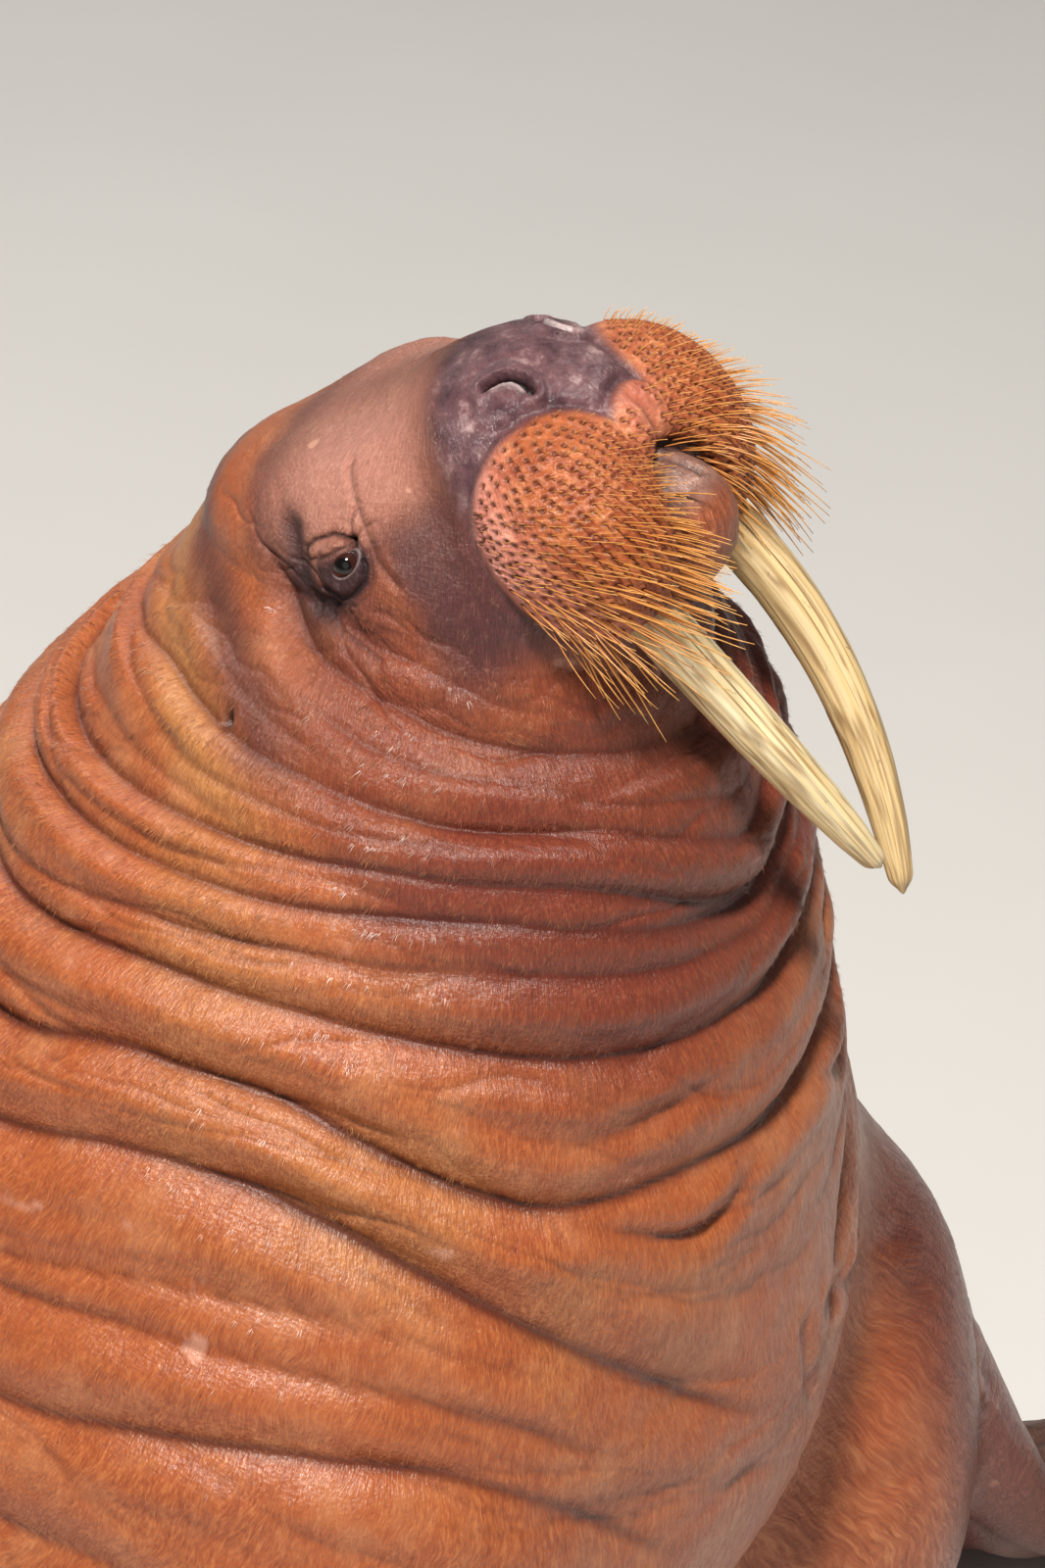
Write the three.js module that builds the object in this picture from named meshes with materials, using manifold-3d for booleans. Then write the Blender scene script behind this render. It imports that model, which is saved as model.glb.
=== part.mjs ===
// A life-size adult walrus, sitting up on her foreflippers with her head raised.
// Millimetres, +Z up, the floor at z = 0, the animal facing -Y, her left side towards +X.
// Her skin is one surface: rays from a line inside the body end on a smoothly blended set of forms.
// That surface is built in rings, and is parted into head, neck, chest and the rest by thin cuts.
import * as THREE from "three";
import { mergeVertices } from "three/addons/utils/BufferGeometryUtils.js";
import Module from "manifold-3d";

const wasm = await Module();
wasm.setup();

// Driving dimensions
const GAP = 0.3; // between touching pieces
const EYE_LINE = { y: -16, z: 1268 }; // midpoint between the eyes
const FOOTPRINT_SHIFT = -630.5; // puts the middle of the whole outline over the origin
const HEAD_PITCH = 42; // degrees, snout above level
const HEAD_ROLL = 9.5; // degrees, left side of the head higher
const HEAD_YAW = 7; // degrees, snout towards her right
const HALF_TURN = Math.PI;
const rad = THREE.MathUtils.degToRad;

// Rings of the trunk from the middle of the skull to the tail: the ring's centre, y back and z up,
// its half width, and its half height towards the back and towards the belly.
const stations = [
  { name: "skull", y: -40, z: 1232, wide: 122, back: 172, belly: 116 },
  { name: "throat", y: -40, z: 1140, wide: 216, back: 232, belly: 212 },
  { name: "neck", y: -28, z: 1020, wide: 286, back: 292, belly: 284 },
  { name: "withers", y: 39, z: 780, wide: 384, back: 370, belly: 388 },
  { name: "chest", y: 130, z: 600, wide: 438, back: 402, belly: 436 },
  { name: "ribs", y: 300, z: 450, wide: 455, back: 415, belly: 440 },
  { name: "loin", y: 580, z: 370, wide: 435, back: 385, belly: 395 },
  { name: "hips", y: 920, z: 315, wide: 370, back: 320, belly: 335 },
  { name: "rump", y: 1250, z: 245, wide: 275, back: 232, belly: 250 },
  { name: "ankles", y: 1510, z: 165, wide: 175, back: 142, belly: 160 },
  { name: "stern", y: 1650, z: 118, wide: 120, back: 100, belly: 114 },
  { name: "end", y: 1712, z: 100, wide: 52, back: 42, belly: 50 },
];
const ROUNDNESS = 2.15; // exponent of the trunk's rings, 2 being an ellipse
const CROWN = 84; // height of the plain skull dome above the skull's centre
const DOME = 240; // length given to the dome of the head, in the rings' own measure

// Forms of the head, in its own frame: x left, y back, z up, from the midpoint between the eyes.
// A form with x above 0 is made on both sides. They are joined in this order.
const headForms = [
  { name: "cranium", at: [0, 52, -42], size: [112, 130, 114], blend: 40 },
  { name: "snout", at: [0, -84, -33], size: [94, 118, 95], blend: 44 },
  { name: "nose", at: [0, -128, -8], size: [76, 58, 56], blend: 30 },
  { name: "pad", at: [60, -149, -74], size: [63, 66, 82], blend: 20 },
  { name: "philtrum", at: [0, -158, -40], size: [48, 54, 44], blend: 26 },
  { name: "cheek", at: [78, -10, -95], size: [66, 100, 92], blend: 44 },
  { name: "brow", at: [66, 8, 22], size: [42, 72, 46], blend: 34 },
  { name: "nape", at: [0, 102, -54], size: [112, 95, 92], blend: 60 },
  { name: "bridge", at: [0, -52, 9], size: [62, 70, 47], blend: 34 },
  { name: "gullet", at: [0, 10, -160], size: [125, 125, 80], blend: 50 },
  { name: "mouth", at: [0, -204, -142], size: [46, 54, 64], blend: 14, hollow: true },
  { name: "chin", at: [0, -139, -118], size: [44, 82, 60], blend: 12 },
];

// Forms of the trunk that stand out of its rings, in the frame of the whole animal.
const trunkForms = [
  { name: "shoulder", at: [240, -50, 530], size: [200, 200, 260], blend: 110 },
  { name: "upper arm", at: [342, -172, 338], size: [142, 158, 205], blend: 80 },
  { name: "breast", at: [0, -150, 520], size: [230, 160, 200], blend: 100 },
  { name: "armpit", at: [278, -180, 215], size: [172, 176, 195], blend: 80 },
  { name: "haunch", at: [215, 1180, 175], size: [150, 230, 160], blend: 90 },
];

const FIELD_STEP = 14; // length of one step of a ray
const RAY_REACH = 330; // how far past the plain ring a ray looks for the skin
const HALVINGS = 16;

// The frame of the head
const headTurn = new THREE.Matrix4()
  .makeRotationZ(rad(-HEAD_YAW))
  .multiply(new THREE.Matrix4().makeRotationX(rad(-HEAD_PITCH)))
  .multiply(new THREE.Matrix4().makeRotationY(rad(-HEAD_ROLL)));
const headFrame = new THREE.Matrix4()
  .makeTranslation(0, EYE_LINE.y, EYE_LINE.z)
  .multiply(headTurn);
const intoHead = headFrame.clone().invert();

// A point given in the head's frame, in the frame of the whole animal.
function onHead(x, y, z) {
  return new THREE.Vector3(x, y, z).applyMatrix4(headFrame);
}

// The smooth union of two distances.
function soften(a, b, blend) {
  const near = Math.max(blend - Math.abs(a - b), 0) / blend;
  return Math.min(a, b) - (near * near * blend) / 4;
}

// About how far a point lies outside an ellipsoid.
function outside(p, form, side) {
  const dx = p.x - side * form.at[0];
  const dy = p.y - form.at[1];
  const dz = p.z - form.at[2];
  const [sx, sy, sz] = form.size;
  const share = Math.hypot(dx / sx, dy / sy, dz / sz);
  const slope = Math.hypot(dx / (sx * sx), dy / (sy * sy), dz / (sz * sz));
  return slope < 1e-9 ? -Math.min(sx, sy, sz) : (share * (share - 1)) / slope;
}

// The distance so far, blended with each form of a list. A hollow form is taken away instead.
function withForms(distance, p, forms) {
  let result = distance;
  for (const form of forms) {
    for (const side of form.at[0] > 0 ? [1, -1] : [1]) {
      const away = outside(p, form, side);
      if (form.hollow) result = -soften(-result, away, form.blend);
      else result = soften(result, away, form.blend);
    }
  }
  return result;
}

// The spine and the rings' sizes, by station number.
const spine = new THREE.CatmullRomCurve3(
  stations.map((s) => new THREE.Vector3(0, s.y, s.z)),
  false,
  "catmullrom",
);
const girth = new THREE.CatmullRomCurve3(
  stations.map((s) => new THREE.Vector3(s.wide, s.back, s.belly)),
  false,
  "catmullrom",
);
const spineSteps = 400;
const spineLengths = spine.getLengths(spineSteps);
const SPINE_LENGTH = spineLengths[spineSteps];

// The curves' own parameter at a length along the spine, in millimetres.
function parameterAt(length) {
  const wanted = THREE.MathUtils.clamp(length, 0, SPINE_LENGTH);
  let i = 1;
  while (i < spineSteps && spineLengths[i] < wanted) i += 1;
  const span = spineLengths[i] - spineLengths[i - 1];
  return (i - 1 + (wanted - spineLengths[i - 1]) / span) / spineSteps;
}

// The radius of a plain ring towards a turn: 0 the back, half a turn the belly.
function ringRadius(size, turn) {
  const across = Math.abs(Math.sin(turn)) / size.x;
  const along = Math.abs(Math.cos(turn)) / (Math.cos(turn) > 0 ? size.y : size.z);
  return (across ** ROUNDNESS + along ** ROUNDNESS) ** (-1 / ROUNDNESS);
}

// The ray of the skin at a ring (its length along the spine, under 0 on the head's dome) and a turn.
function rayAt(ring, turn) {
  const t = parameterAt(Math.max(ring, 0));
  const from = spine.getPoint(t);
  const down = spine.getTangent(t);
  const back = new THREE.Vector3(0, -down.z, down.y);
  const along = back.multiplyScalar(Math.cos(turn));
  along.x += Math.sin(turn);
  let plain = ringRadius(girth.getPoint(t), turn);
  if (ring < 0) {
    const lift = (-ring / DOME) * (HALF_TURN / 2);
    plain = 1 / Math.hypot(Math.cos(lift) / plain, Math.sin(lift) / CROWN);
    along.multiplyScalar(Math.cos(lift)).addScaledVector(down, -Math.sin(lift));
  }
  return { from, along, plain };
}

// The distance of a point of a ray from the skin without its folds.
function fieldAt(ray, reach) {
  const p = ray.from.clone().addScaledVector(ray.along, reach);
  let distance = withForms(reach - ray.plain, p, trunkForms);
  if (p.z > EYE_LINE.z - 420) {
    distance = withForms(distance, p.clone().applyMatrix4(intoHead), headForms);
  }
  return distance;
}

// Folds of the skin round the neck and the body: where the crease lies along the spine, its depth,
// how far it runs each way, how much higher it lies on the flanks than on back and belly, and how
// much higher on the back, or lower where negative, than on the belly.
const folds = [
  { at: 31, deep: 8, half: 22, arch: 9, lean: 45 },
  { at: 118, deep: 10, half: 24, arch: 41, lean: 30 },
  { at: 163, deep: 12, half: 22, arch: 42, lean: 8 },
  { at: 207, deep: 13, half: 22, arch: 46, lean: -22 },
  { at: 242, deep: 11, half: 20, arch: 50, lean: -32 },
  { at: 280, deep: 14, half: 24, arch: 54, lean: -28 },
  { at: 370, deep: 15, half: 32, arch: 78, lean: -26 },
  { at: 500, deep: 15, half: 36, arch: 146, lean: -20 },
  { at: 575, deep: 12, half: 36, arch: 116, lean: -50 },
  { at: 660, deep: 13, half: 40, arch: 128, lean: -60 },
  { at: 755, deep: 12, half: 48, arch: 96, lean: -40 },
  { at: 880, deep: 11, half: 55, arch: 60, lean: -20 },
  { at: 1030, deep: 9, half: 60, arch: 20, lean: 0 },
];
const BEND_START = -90; // the ring from which the bend of the first fold grows

// How far a ring bends up from its length along the spine, at a turn.
function bendAt(ring, turn) {
  let i = 0;
  while (i < folds.length - 1 && folds[i].at < ring) i += 1;
  const before = i > 0 ? folds[i - 1] : { at: BEND_START, arch: 0, lean: 0 };
  const share = THREE.MathUtils.clamp((ring - before.at) / (folds[i].at - before.at), 0, 1);
  const arch = THREE.MathUtils.lerp(before.arch, folds[i].arch, share);
  const lean = THREE.MathUtils.lerp(before.lean, folds[i].lean, share);
  const flank = Math.sin(turn) ** 2 * (1 - 0.35 * Math.cos(turn));
  return arch * flank + lean * Math.cos(turn);
}

// How deep the folds press the skin in.
function foldDepth(ring) {
  let depth = 0;
  for (const fold of folds) {
    depth += fold.deep * Math.exp(-(((ring - fold.at) / (fold.half * 0.5)) ** 2));
  }
  return depth;
}

// A point of the finished skin.
function skinPoint(ring, turn, lift = 0) {
  const ray = rayAt(ring - bendAt(ring, turn), turn);
  let reach = ray.plain + RAY_REACH;
  while (reach > 0 && fieldAt(ray, reach) > 0) reach -= FIELD_STEP;
  let inner = reach;
  let outer = reach + FIELD_STEP;
  for (let i = 0; i < HALVINGS; i += 1) {
    const middle = (inner + outer) / 2;
    if (fieldAt(ray, middle) > 0) outer = middle;
    else inner = middle;
  }
  const depth = foldDepth(ring);
  const point = ray.from.clone().addScaledVector(ray.along, inner - depth + lift);
  point.z = Math.max(point.z, 0);
  return point;
}

// Columns of the rings, closer together over the muzzle.
const COLUMNS = 54;
const FRONT_CROWDING = 0.5;
function turnAt(column, ring) {
  const even = (column / COLUMNS) * 2 * HALF_TURN;
  const fade = THREE.MathUtils.smoothstep(ring, 40, 420);
  return even + FRONT_CROWDING * (1 - fade) * Math.sin(even);
}

function skinRing(ring, lift = 0) {
  return Array.from({ length: COLUMNS }, (_, i) => skinPoint(ring, turnAt(i, ring), lift));
}

// A closed body from rings of points and the two points that close its ends.
function loft(rings, first, last) {
  const count = rings[0].length;
  const points = [first, ...rings.flat(), last];
  const indices = [];
  const at = (row, column) => 1 + row * count + (column % count);
  for (let c = 0; c < count; c += 1) {
    indices.push(0, at(0, c), at(0, c + 1));
    for (let r = 0; r + 1 < rings.length; r += 1) {
      indices.push(at(r, c), at(r + 1, c), at(r + 1, c + 1));
      indices.push(at(r, c), at(r + 1, c + 1), at(r, c + 1));
    }
    indices.push(points.length - 1, at(rings.length - 1, c + 1), at(rings.length - 1, c));
  }
  return new THREE.BufferGeometry().setFromPoints(points).setIndex(indices);
}

// A closed geometry as a solid that can be joined and cut.
function solidOf(geometry) {
  const bare = geometry.index ? geometry.toNonIndexed() : geometry.clone();
  bare.deleteAttribute("normal");
  bare.deleteAttribute("uv");
  const merged = mergeVertices(bare, 1e-3);
  const index = [];
  for (let i = 0; i < merged.index.count; i += 3) {
    const [a, b, c] = [0, 1, 2].map((k) => merged.index.getX(i + k));
    if (a !== b && b !== c && a !== c) index.push(a, b, c);
  }
  let made = new wasm.Manifold(
    new wasm.Mesh({
      numProp: 3,
      vertProperties: merged.attributes.position.array,
      triVerts: new Uint32Array(index),
    }),
  );
  if (made.volume() < 0) {
    for (let i = 0; i < index.length; i += 3) [index[i + 1], index[i + 2]] = [index[i + 2], index[i + 1]];
    made = new wasm.Manifold(
      new wasm.Mesh({
        numProp: 3,
        vertProperties: merged.attributes.position.array,
        triVerts: new Uint32Array(index),
      }),
    );
  }
  return made;
}

// The largest closed body of a solid, without the hollows or scraps that a cut can leave.
function largest(solid) {
  return solid.decompose().sort((a, b) => b.volume() - a.volume())[0];
}

function geometryOf(solid) {
  const mesh = solid.getMesh();
  const positions = new Float32Array(mesh.numVert * 3);
  for (let i = 0; i < mesh.numVert; i += 1) {
    positions.set(mesh.vertProperties.subarray(i * mesh.numProp, i * mesh.numProp + 3), i * 3);
  }
  const geometry = new THREE.BufferGeometry();
  geometry.setAttribute("position", new THREE.BufferAttribute(positions, 3));
  geometry.setIndex(new THREE.BufferAttribute(mesh.triVerts, 1));
  return geometry;
}

function middleOf(points) {
  return points.reduce((sum, p) => sum.add(p), new THREE.Vector3()).divideScalar(points.length);
}

// The way square to a ring, pointing to the side on which another ring lies.
function wayAcross(ring, towards) {
  const middle = middleOf(ring);
  const arms = ring.map((p) => p.clone().sub(middle));
  const way = new THREE.Vector3();
  arms.forEach((arm, i) => way.add(arm.clone().cross(arms[(i + 1) % arms.length])));
  if (way.dot(middleOf(towards).sub(middle)) < 0) way.negate();
  return way.normalize();
}

// The part of the body between two cuts. Each cut ring is drawn in by half the gap.
function bodyLength(rows) {
  const rings = rows.map((ring) => skinRing(ring));
  const pull = (ring, towards) => {
    const step = wayAcross(ring, towards).multiplyScalar(GAP / 2);
    return ring.map((p) => p.clone().add(step));
  };
  const count = rings.length;
  if (rows[0] > -DOME) rings[0] = pull(rings[0], rings[1]);
  if (rows[count - 1] < SPINE_LENGTH) rings[count - 1] = pull(rings[count - 1], rings[count - 2]);
  return loft(rings, middleOf(rings[0]), middleOf(rings[count - 1]));
}

// Lengths along the spine at which rings lie: even steps from one value to another.
function steps(from, to, count) {
  return Array.from({ length: count + 1 }, (_, i) => from + ((to - from) * i) / count);
}

// In the folded stretch, a ring lies in each crease and midway between creases.
function foldRings(from, to) {
  const rings = [];
  folds.forEach((fold, i) => {
    if (fold.at >= from && fold.at <= to) rings.push(fold.at);
    const next = folds[i + 1];
    if (next && (fold.at + next.at) / 2 >= from && (fold.at + next.at) / 2 <= to) {
      rings.push((fold.at + next.at) / 2);
    }
  });
  return rings;
}

// The value of a list at a share of its length.
function sampleOf(list, share) {
  const at = THREE.MathUtils.clamp(share, 0, 1) * (list.length - 1);
  const low = Math.min(Math.floor(at), list.length - 2);
  return THREE.MathUtils.lerp(list[low], list[low + 1], at - low);
}

// A point for each step of a turn round a centre, on an ellipse of two half widths.
function ellipseRing(centre, across, ahead, halfAcross, halfAhead, count) {
  return Array.from({ length: count }, (_, k) => {
    const turn = (k / count) * 2 * HALF_TURN;
    const point = centre.clone().addScaledVector(across, Math.cos(turn) * halfAcross);
    return point.addScaledVector(ahead, Math.sin(turn) * halfAhead);
  });
}

// A ball stretched to three half sizes, in the head's frame.
function headBall(at, size, extra = 0, detail = [24, 16]) {
  const geometry = new THREE.SphereGeometry(1, detail[0], detail[1]);
  geometry.scale(size[0] + extra, size[1] + extra, size[2] + extra);
  geometry.translate(at[0], at[1], at[2]);
  return solidOf(geometry.applyMatrix4(headFrame));
}

// How far the head's skin lies from a point inside it, along a way given in the head's frame.
function headReach(from, way) {
  const start = new THREE.Vector3(...from);
  let inner = 0;
  let outer = 260;
  for (let i = 0; i < 24; i += 1) {
    const middle = (inner + outer) / 2;
    const point = start.clone().addScaledVector(way, middle);
    if (withForms(1e6, point, headForms) > 0) outer = middle;
    else inner = middle;
  }
  return inner;
}

// Tusks, in the head's frame: where each leaves the jaw, its tip, and how far its middle bows
// outward and forward. The left one is the longer.
const TUSK_ROOTED = 62; // length hidden in the jaw
const TUSK_STEPS = 9;
const TUSK_SIDES = 12;
const tuskRadii = [22.5, 22.5, 22, 21, 19.5, 17.5, 14.5, 9.5];
const tusks = {
  right: { side: -1, root: [59, -147, -156], tip: [13, -110, -414], bow: [10, 10] },
  left: { side: 1, root: [59, -147, -156], tip: [13, -86, -449], bow: [24, 13] },
};

function tuskSolid({ side, root, tip, bow }, extra = 0) {
  const from = new THREE.Vector3(side * root[0], root[1], root[2]);
  const to = new THREE.Vector3(side * tip[0], tip[1], tip[2]);
  const bend = from.clone().add(to).multiplyScalar(0.5);
  bend.x += 2 * side * bow[0];
  bend.y -= 2 * bow[1];
  const curve = new THREE.QuadraticBezierCurve3(from, bend, to);
  const rings = [];
  for (let i = -2; i <= TUSK_STEPS; i += 1) {
    const share = Math.max(i, 0) / TUSK_STEPS;
    const way = curve.getTangent(share);
    const centre = curve.getPoint(share);
    if (i < 0) centre.addScaledVector(way, (i / 2) * TUSK_ROOTED);
    const across = new THREE.Vector3(1, 0, 0).addScaledVector(way, -way.x).normalize();
    const ahead = new THREE.Vector3().crossVectors(way, across);
    const radius = sampleOf(tuskRadii, share);
    const sides = [radius * 0.88 + extra, radius + extra];
    rings.push(ellipseRing(centre, across, ahead, sides[0], sides[1], TUSK_SIDES));
  }
  const stub = from.clone().addScaledVector(curve.getTangent(0), -TUSK_ROOTED - 3 - extra);
  const nose = to.clone().addScaledVector(curve.getTangent(1), 6 + extra);
  return solidOf(loft(rings, stub, nose).applyMatrix4(headFrame));
}

// Eyes: balls behind lids. A lid is the shell left round the ball, with an almond cut through it.
const EYE = { y: -14, z: 0, radius: 17, sunk: 8, lid: 5, open: [13, 9] };

function eyeCentre(side) {
  const reach = headReach([0, EYE.y, EYE.z], new THREE.Vector3(side, 0, 0));
  return [side * (reach - EYE.sunk), EYE.y, EYE.z];
}

function eyeBall(side, extra = 0) {
  const size = EYE.radius + extra;
  return headBall(eyeCentre(side), [size, size, size], 0, [14, 9]);
}

function eyeOpening(side) {
  const [x, y, z] = eyeCentre(side);
  const cut = new THREE.CylinderGeometry(1, 1, 60, 14);
  cut.scale(EYE.open[0], 1, EYE.open[1]).rotateY(-0.25).rotateZ(HALF_TURN / 2).rotateX(HALF_TURN / 2);
  cut.translate(x + side * 38, y, z);
  return solidOf(cut.applyMatrix4(headFrame));
}

// Nostrils: curved slits on top of the nose. Ears: a small pit with a low rim behind each eye.
const NOSTRIL = { half: 4.5, deep: 14, middle: [0, -118, -30] };
const nostrilPath = [
  [25, -140, 34],
  [35, -150, 34],
  [41, -165, 26],
  [38, -180, 12],
];
const EAR = { y: 92, z: -24, pit: 4.5, deep: 14, rim: 8, thick: 3.5 };

function nostril(side) {
  const curve = new THREE.CatmullRomCurve3(
    nostrilPath.map(([x, y, z]) => new THREE.Vector3(side * x, y, z)),
  );
  const rings = steps(0, 1, 6).map((share) => {
    const at = curve.getPoint(share);
    const out = at.clone().sub(new THREE.Vector3(...NOSTRIL.middle)).normalize();
    const across = new THREE.Vector3().crossVectors(curve.getTangent(share), out).normalize();
    const half = NOSTRIL.half * Math.sin(HALF_TURN * THREE.MathUtils.lerp(0.12, 0.88, share));
    return ellipseRing(at, across, out, half, NOSTRIL.deep, 6);
  });
  const ends = [middleOf(rings[0]), middleOf(rings[rings.length - 1])];
  return solidOf(loft(rings, ends[0], ends[1]).applyMatrix4(headFrame));
}

function earParts(side) {
  const reach = headReach([0, EAR.y, EAR.z], new THREE.Vector3(side, 0, 0));
  const rim = new THREE.TorusGeometry(EAR.rim, EAR.thick, 6, 12).rotateY(HALF_TURN / 2);
  rim.translate(side * reach, EAR.y, EAR.z);
  const pit = headBall([side * reach, EAR.y, EAR.z], [EAR.deep, EAR.pit, EAR.pit + 1], 0, [10, 8]);
  return { rim: solidOf(rim.applyMatrix4(headFrame)), pit };
}

// The parts of the head set off by thin cuts, each shaped by a stretched ball.
const padCut = { at: [59, -160, -79], size: [73, 79, 89] };
const jawCut = { at: [0, -110, -146], size: [56, 92, 66] };
const lipCut = { at: [0, -141, -119], size: [48, 86, 65] };
const MOUTH = 2; // height of the open line between the lips

function padSpace(side, extra = 0) {
  const at = [side * padCut.at[0], padCut.at[1], padCut.at[2]];
  return headBall(at, padCut.size, extra, [18, 11]);
}

function jawSpace(extra = 0, lift = 0) {
  return headBall([0, jawCut.at[1], jawCut.at[2] + lift], jawCut.size, extra, [14, 10]);
}

function lipSpace(extra = 0, lift = 0) {
  return headBall([0, lipCut.at[1], lipCut.at[2] + lift], lipCut.size, extra, [14, 10]);
}

function sideOnly(side) {
  const box = new THREE.BoxGeometry(300, 600, 600).translate(side * (150 + GAP / 2), -100, -100);
  return solidOf(box.applyMatrix4(headFrame));
}

// Whiskers: spines in a seeded scatter over each pad, short by the nose, long at the outer edge.
const WHISKERS = { seed: 11, spread: 140, radius: 1.1, sunk: 7, short: 12, long: 84 };
const PAD_LEAN = [-0.12, -0.62, -0.72]; // the way the tips point: outward, back, up

function whisker(from, first, last, length) {
  const bend = from.clone().addScaledVector(first, length * 0.5);
  const tip = bend.clone().addScaledVector(last, length * 0.5);
  const start = from.clone().addScaledVector(first, -WHISKERS.sunk);
  const across = new THREE.Vector3(0.3, 0.9, 0.2).cross(first).normalize();
  const ahead = new THREE.Vector3().crossVectors(first, across);
  const rings = [
    ellipseRing(start, across, ahead, WHISKERS.radius, WHISKERS.radius, 3),
    ellipseRing(bend, across, ahead, WHISKERS.radius * 0.75, WHISKERS.radius * 0.75, 3),
  ];
  return solidOf(loft(rings, start, tip).applyMatrix4(headFrame));
}

function whiskersOn(side) {
  const found = [];
  THREE.MathUtils.seededRandom(WHISKERS.seed);
  for (let i = 0; i < WHISKERS.spread; i += 1) {
    const high = 1 - (2 * (i + 0.5)) / WHISKERS.spread;
    const turn = i * HALF_TURN * (3 - Math.sqrt(5)) + THREE.MathUtils.seededRandom() * 0.2;
    const flat = Math.sqrt(1 - high * high);
    const way = new THREE.Vector3(side * flat * Math.sin(turn), -flat * Math.cos(turn), high);
    const outward = side * way.x;
    const [px, py, pz] = padCut.at;
    const reach = headReach([side * px * 0.8, py * 0.9, pz], way);
    const from = new THREE.Vector3(side * px * 0.8, py * 0.9, pz).addScaledVector(way, reach);
    const inside = outside(from, { at: [side * px, py, pz], size: padCut.size }, 1) < -5;
    if (!inside || high > 0.72 || side * from.x < 12 || way.y > 0.35) continue;
    const low = THREE.MathUtils.smoothstep(outward * 0.15 - high * 0.9, -0.35, 0.9);
    const length = THREE.MathUtils.lerp(WHISKERS.short, WHISKERS.long, low);
    const lean = new THREE.Vector3(side * PAD_LEAN[0], PAD_LEAN[1], PAD_LEAN[2]);
    const first = way.clone().multiplyScalar(0.8).add(lean).normalize();
    const last = way.clone().multiplyScalar(0.25).add(lean).normalize();
    found.push(whisker(from, first, last, length));
  }
  return found;
}

// Limbs: sections from the root to the tips, each with its middle, half width and half thickness,
// for the animal's left side. The width lies along `lie`, towards the first digit.
const foreLimb = {
  lie: [0, -1, 0],
  web: 15,
  tips: (c) => 42 * c,
  blade: [0.5, 0.72],
  sections: [
    { at: [285, -80, 470], wide: 130, thick: 120 },
    { at: [345, -152, 375], wide: 125, thick: 108 },
    { at: [408, -216, 264], wide: 114, thick: 88 },
    { at: [460, -254, 156], wide: 102, thick: 66 },
    { at: [508, -284, 76], wide: 98, thick: 47 },
    { at: [575, -322, 34], wide: 114, thick: 30 },
    { at: [662, -392, 20], wide: 122, thick: 20 },
    { at: [730, -450, 10], wide: 104, thick: 11 },
  ],
  claw: { length: 13, radius: 3.2, share: 0.9 },
};
const hindLimb = {
  lie: [0.75, 0.66, 0],
  web: 22,
  tips: (c) => 46 * c * c - 18,
  blade: [0.42, 0.7],
  sections: [
    { at: [50, 1500, 150], wide: 96, thick: 96 },
    { at: [122, 1592, 116], wide: 98, thick: 82 },
    { at: [208, 1630, 76], wide: 98, thick: 58 },
    { at: [300, 1598, 40], wide: 120, thick: 34 },
    { at: [385, 1520, 20], wide: 150, thick: 19 },
    { at: [440, 1430, 10], wide: 158, thick: 10 },
  ],
  claw: { length: 22, radius: 3.6, share: 0.86 },
};
const LIMB_ROWS = 12;
const LIMB_SIDES = 11; // across the upper and again across the under side
const DIGITS = 5;

// A point of a limb: its share of the length, its place across (-1 to 1), above or below.
function limbPoint(limb, share, c, above, side) {
  const path = new THREE.CatmullRomCurve3(limb.sections.map((k) => new THREE.Vector3(...k.at)));
  path.curveType = "catmullrom";
  const sizes = new THREE.CatmullRomCurve3(
    limb.sections.map((k) => new THREE.Vector3(k.wide, k.thick, 0)),
    false,
    "catmullrom",
  );
  const way = path.getTangent(share);
  const lie = new THREE.Vector3(...limb.lie);
  lie.addScaledVector(way, -lie.dot(way)).normalize();
  const up = new THREE.Vector3().crossVectors(lie, way).normalize();
  const blade = THREE.MathUtils.smoothstep(share, limb.blade[0], limb.blade[1]);
  const ripple = (1 - Math.cos(DIGITS * HALF_TURN * c)) / 2;
  const size = sizes.getPoint(share);
  const round = (1 - Math.abs(c) ** 2.3) ** 0.5;
  const thick = size.y * round * (1 - 0.3 * blade * ripple) * (above ? 1 : -1);
  const ahead = blade * share * (limb.tips(c) - limb.web * ripple);
  const point = path.getPoint(share).addScaledVector(lie, size.x * c);
  point.addScaledVector(up, thick).addScaledVector(way, ahead);
  point.z = Math.max(point.z, 0);
  point.x *= side;
  return point;
}

function limbSolid(limb, side) {
  const rings = steps(0, 1, LIMB_ROWS).map((even) => {
    const share = even ** 0.85;
    // Places across, from one edge to the other, closer together at the edges.
    const places = steps(0, 1, LIMB_SIDES).map((k) => k - 0.5 - 0.5 * Math.cos(k * HALF_TURN));
    const upper = places.slice(0, -1).map((c) => limbPoint(limb, share, c, true, side));
    const under = places.slice(1).reverse().map((c) => limbPoint(limb, share, c, false, side));
    return [...upper, ...under];
  });
  const body = solidOf(loft(rings, middleOf(rings[0]), middleOf(rings[LIMB_ROWS])));
  const underFloor = solidOf(new THREE.BoxGeometry(4000, 4000, 100).translate(0, 0, -50));
  return wasm.Manifold.union([body, ...clawsOf(limb, side)]).subtract(underFloor);
}

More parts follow.
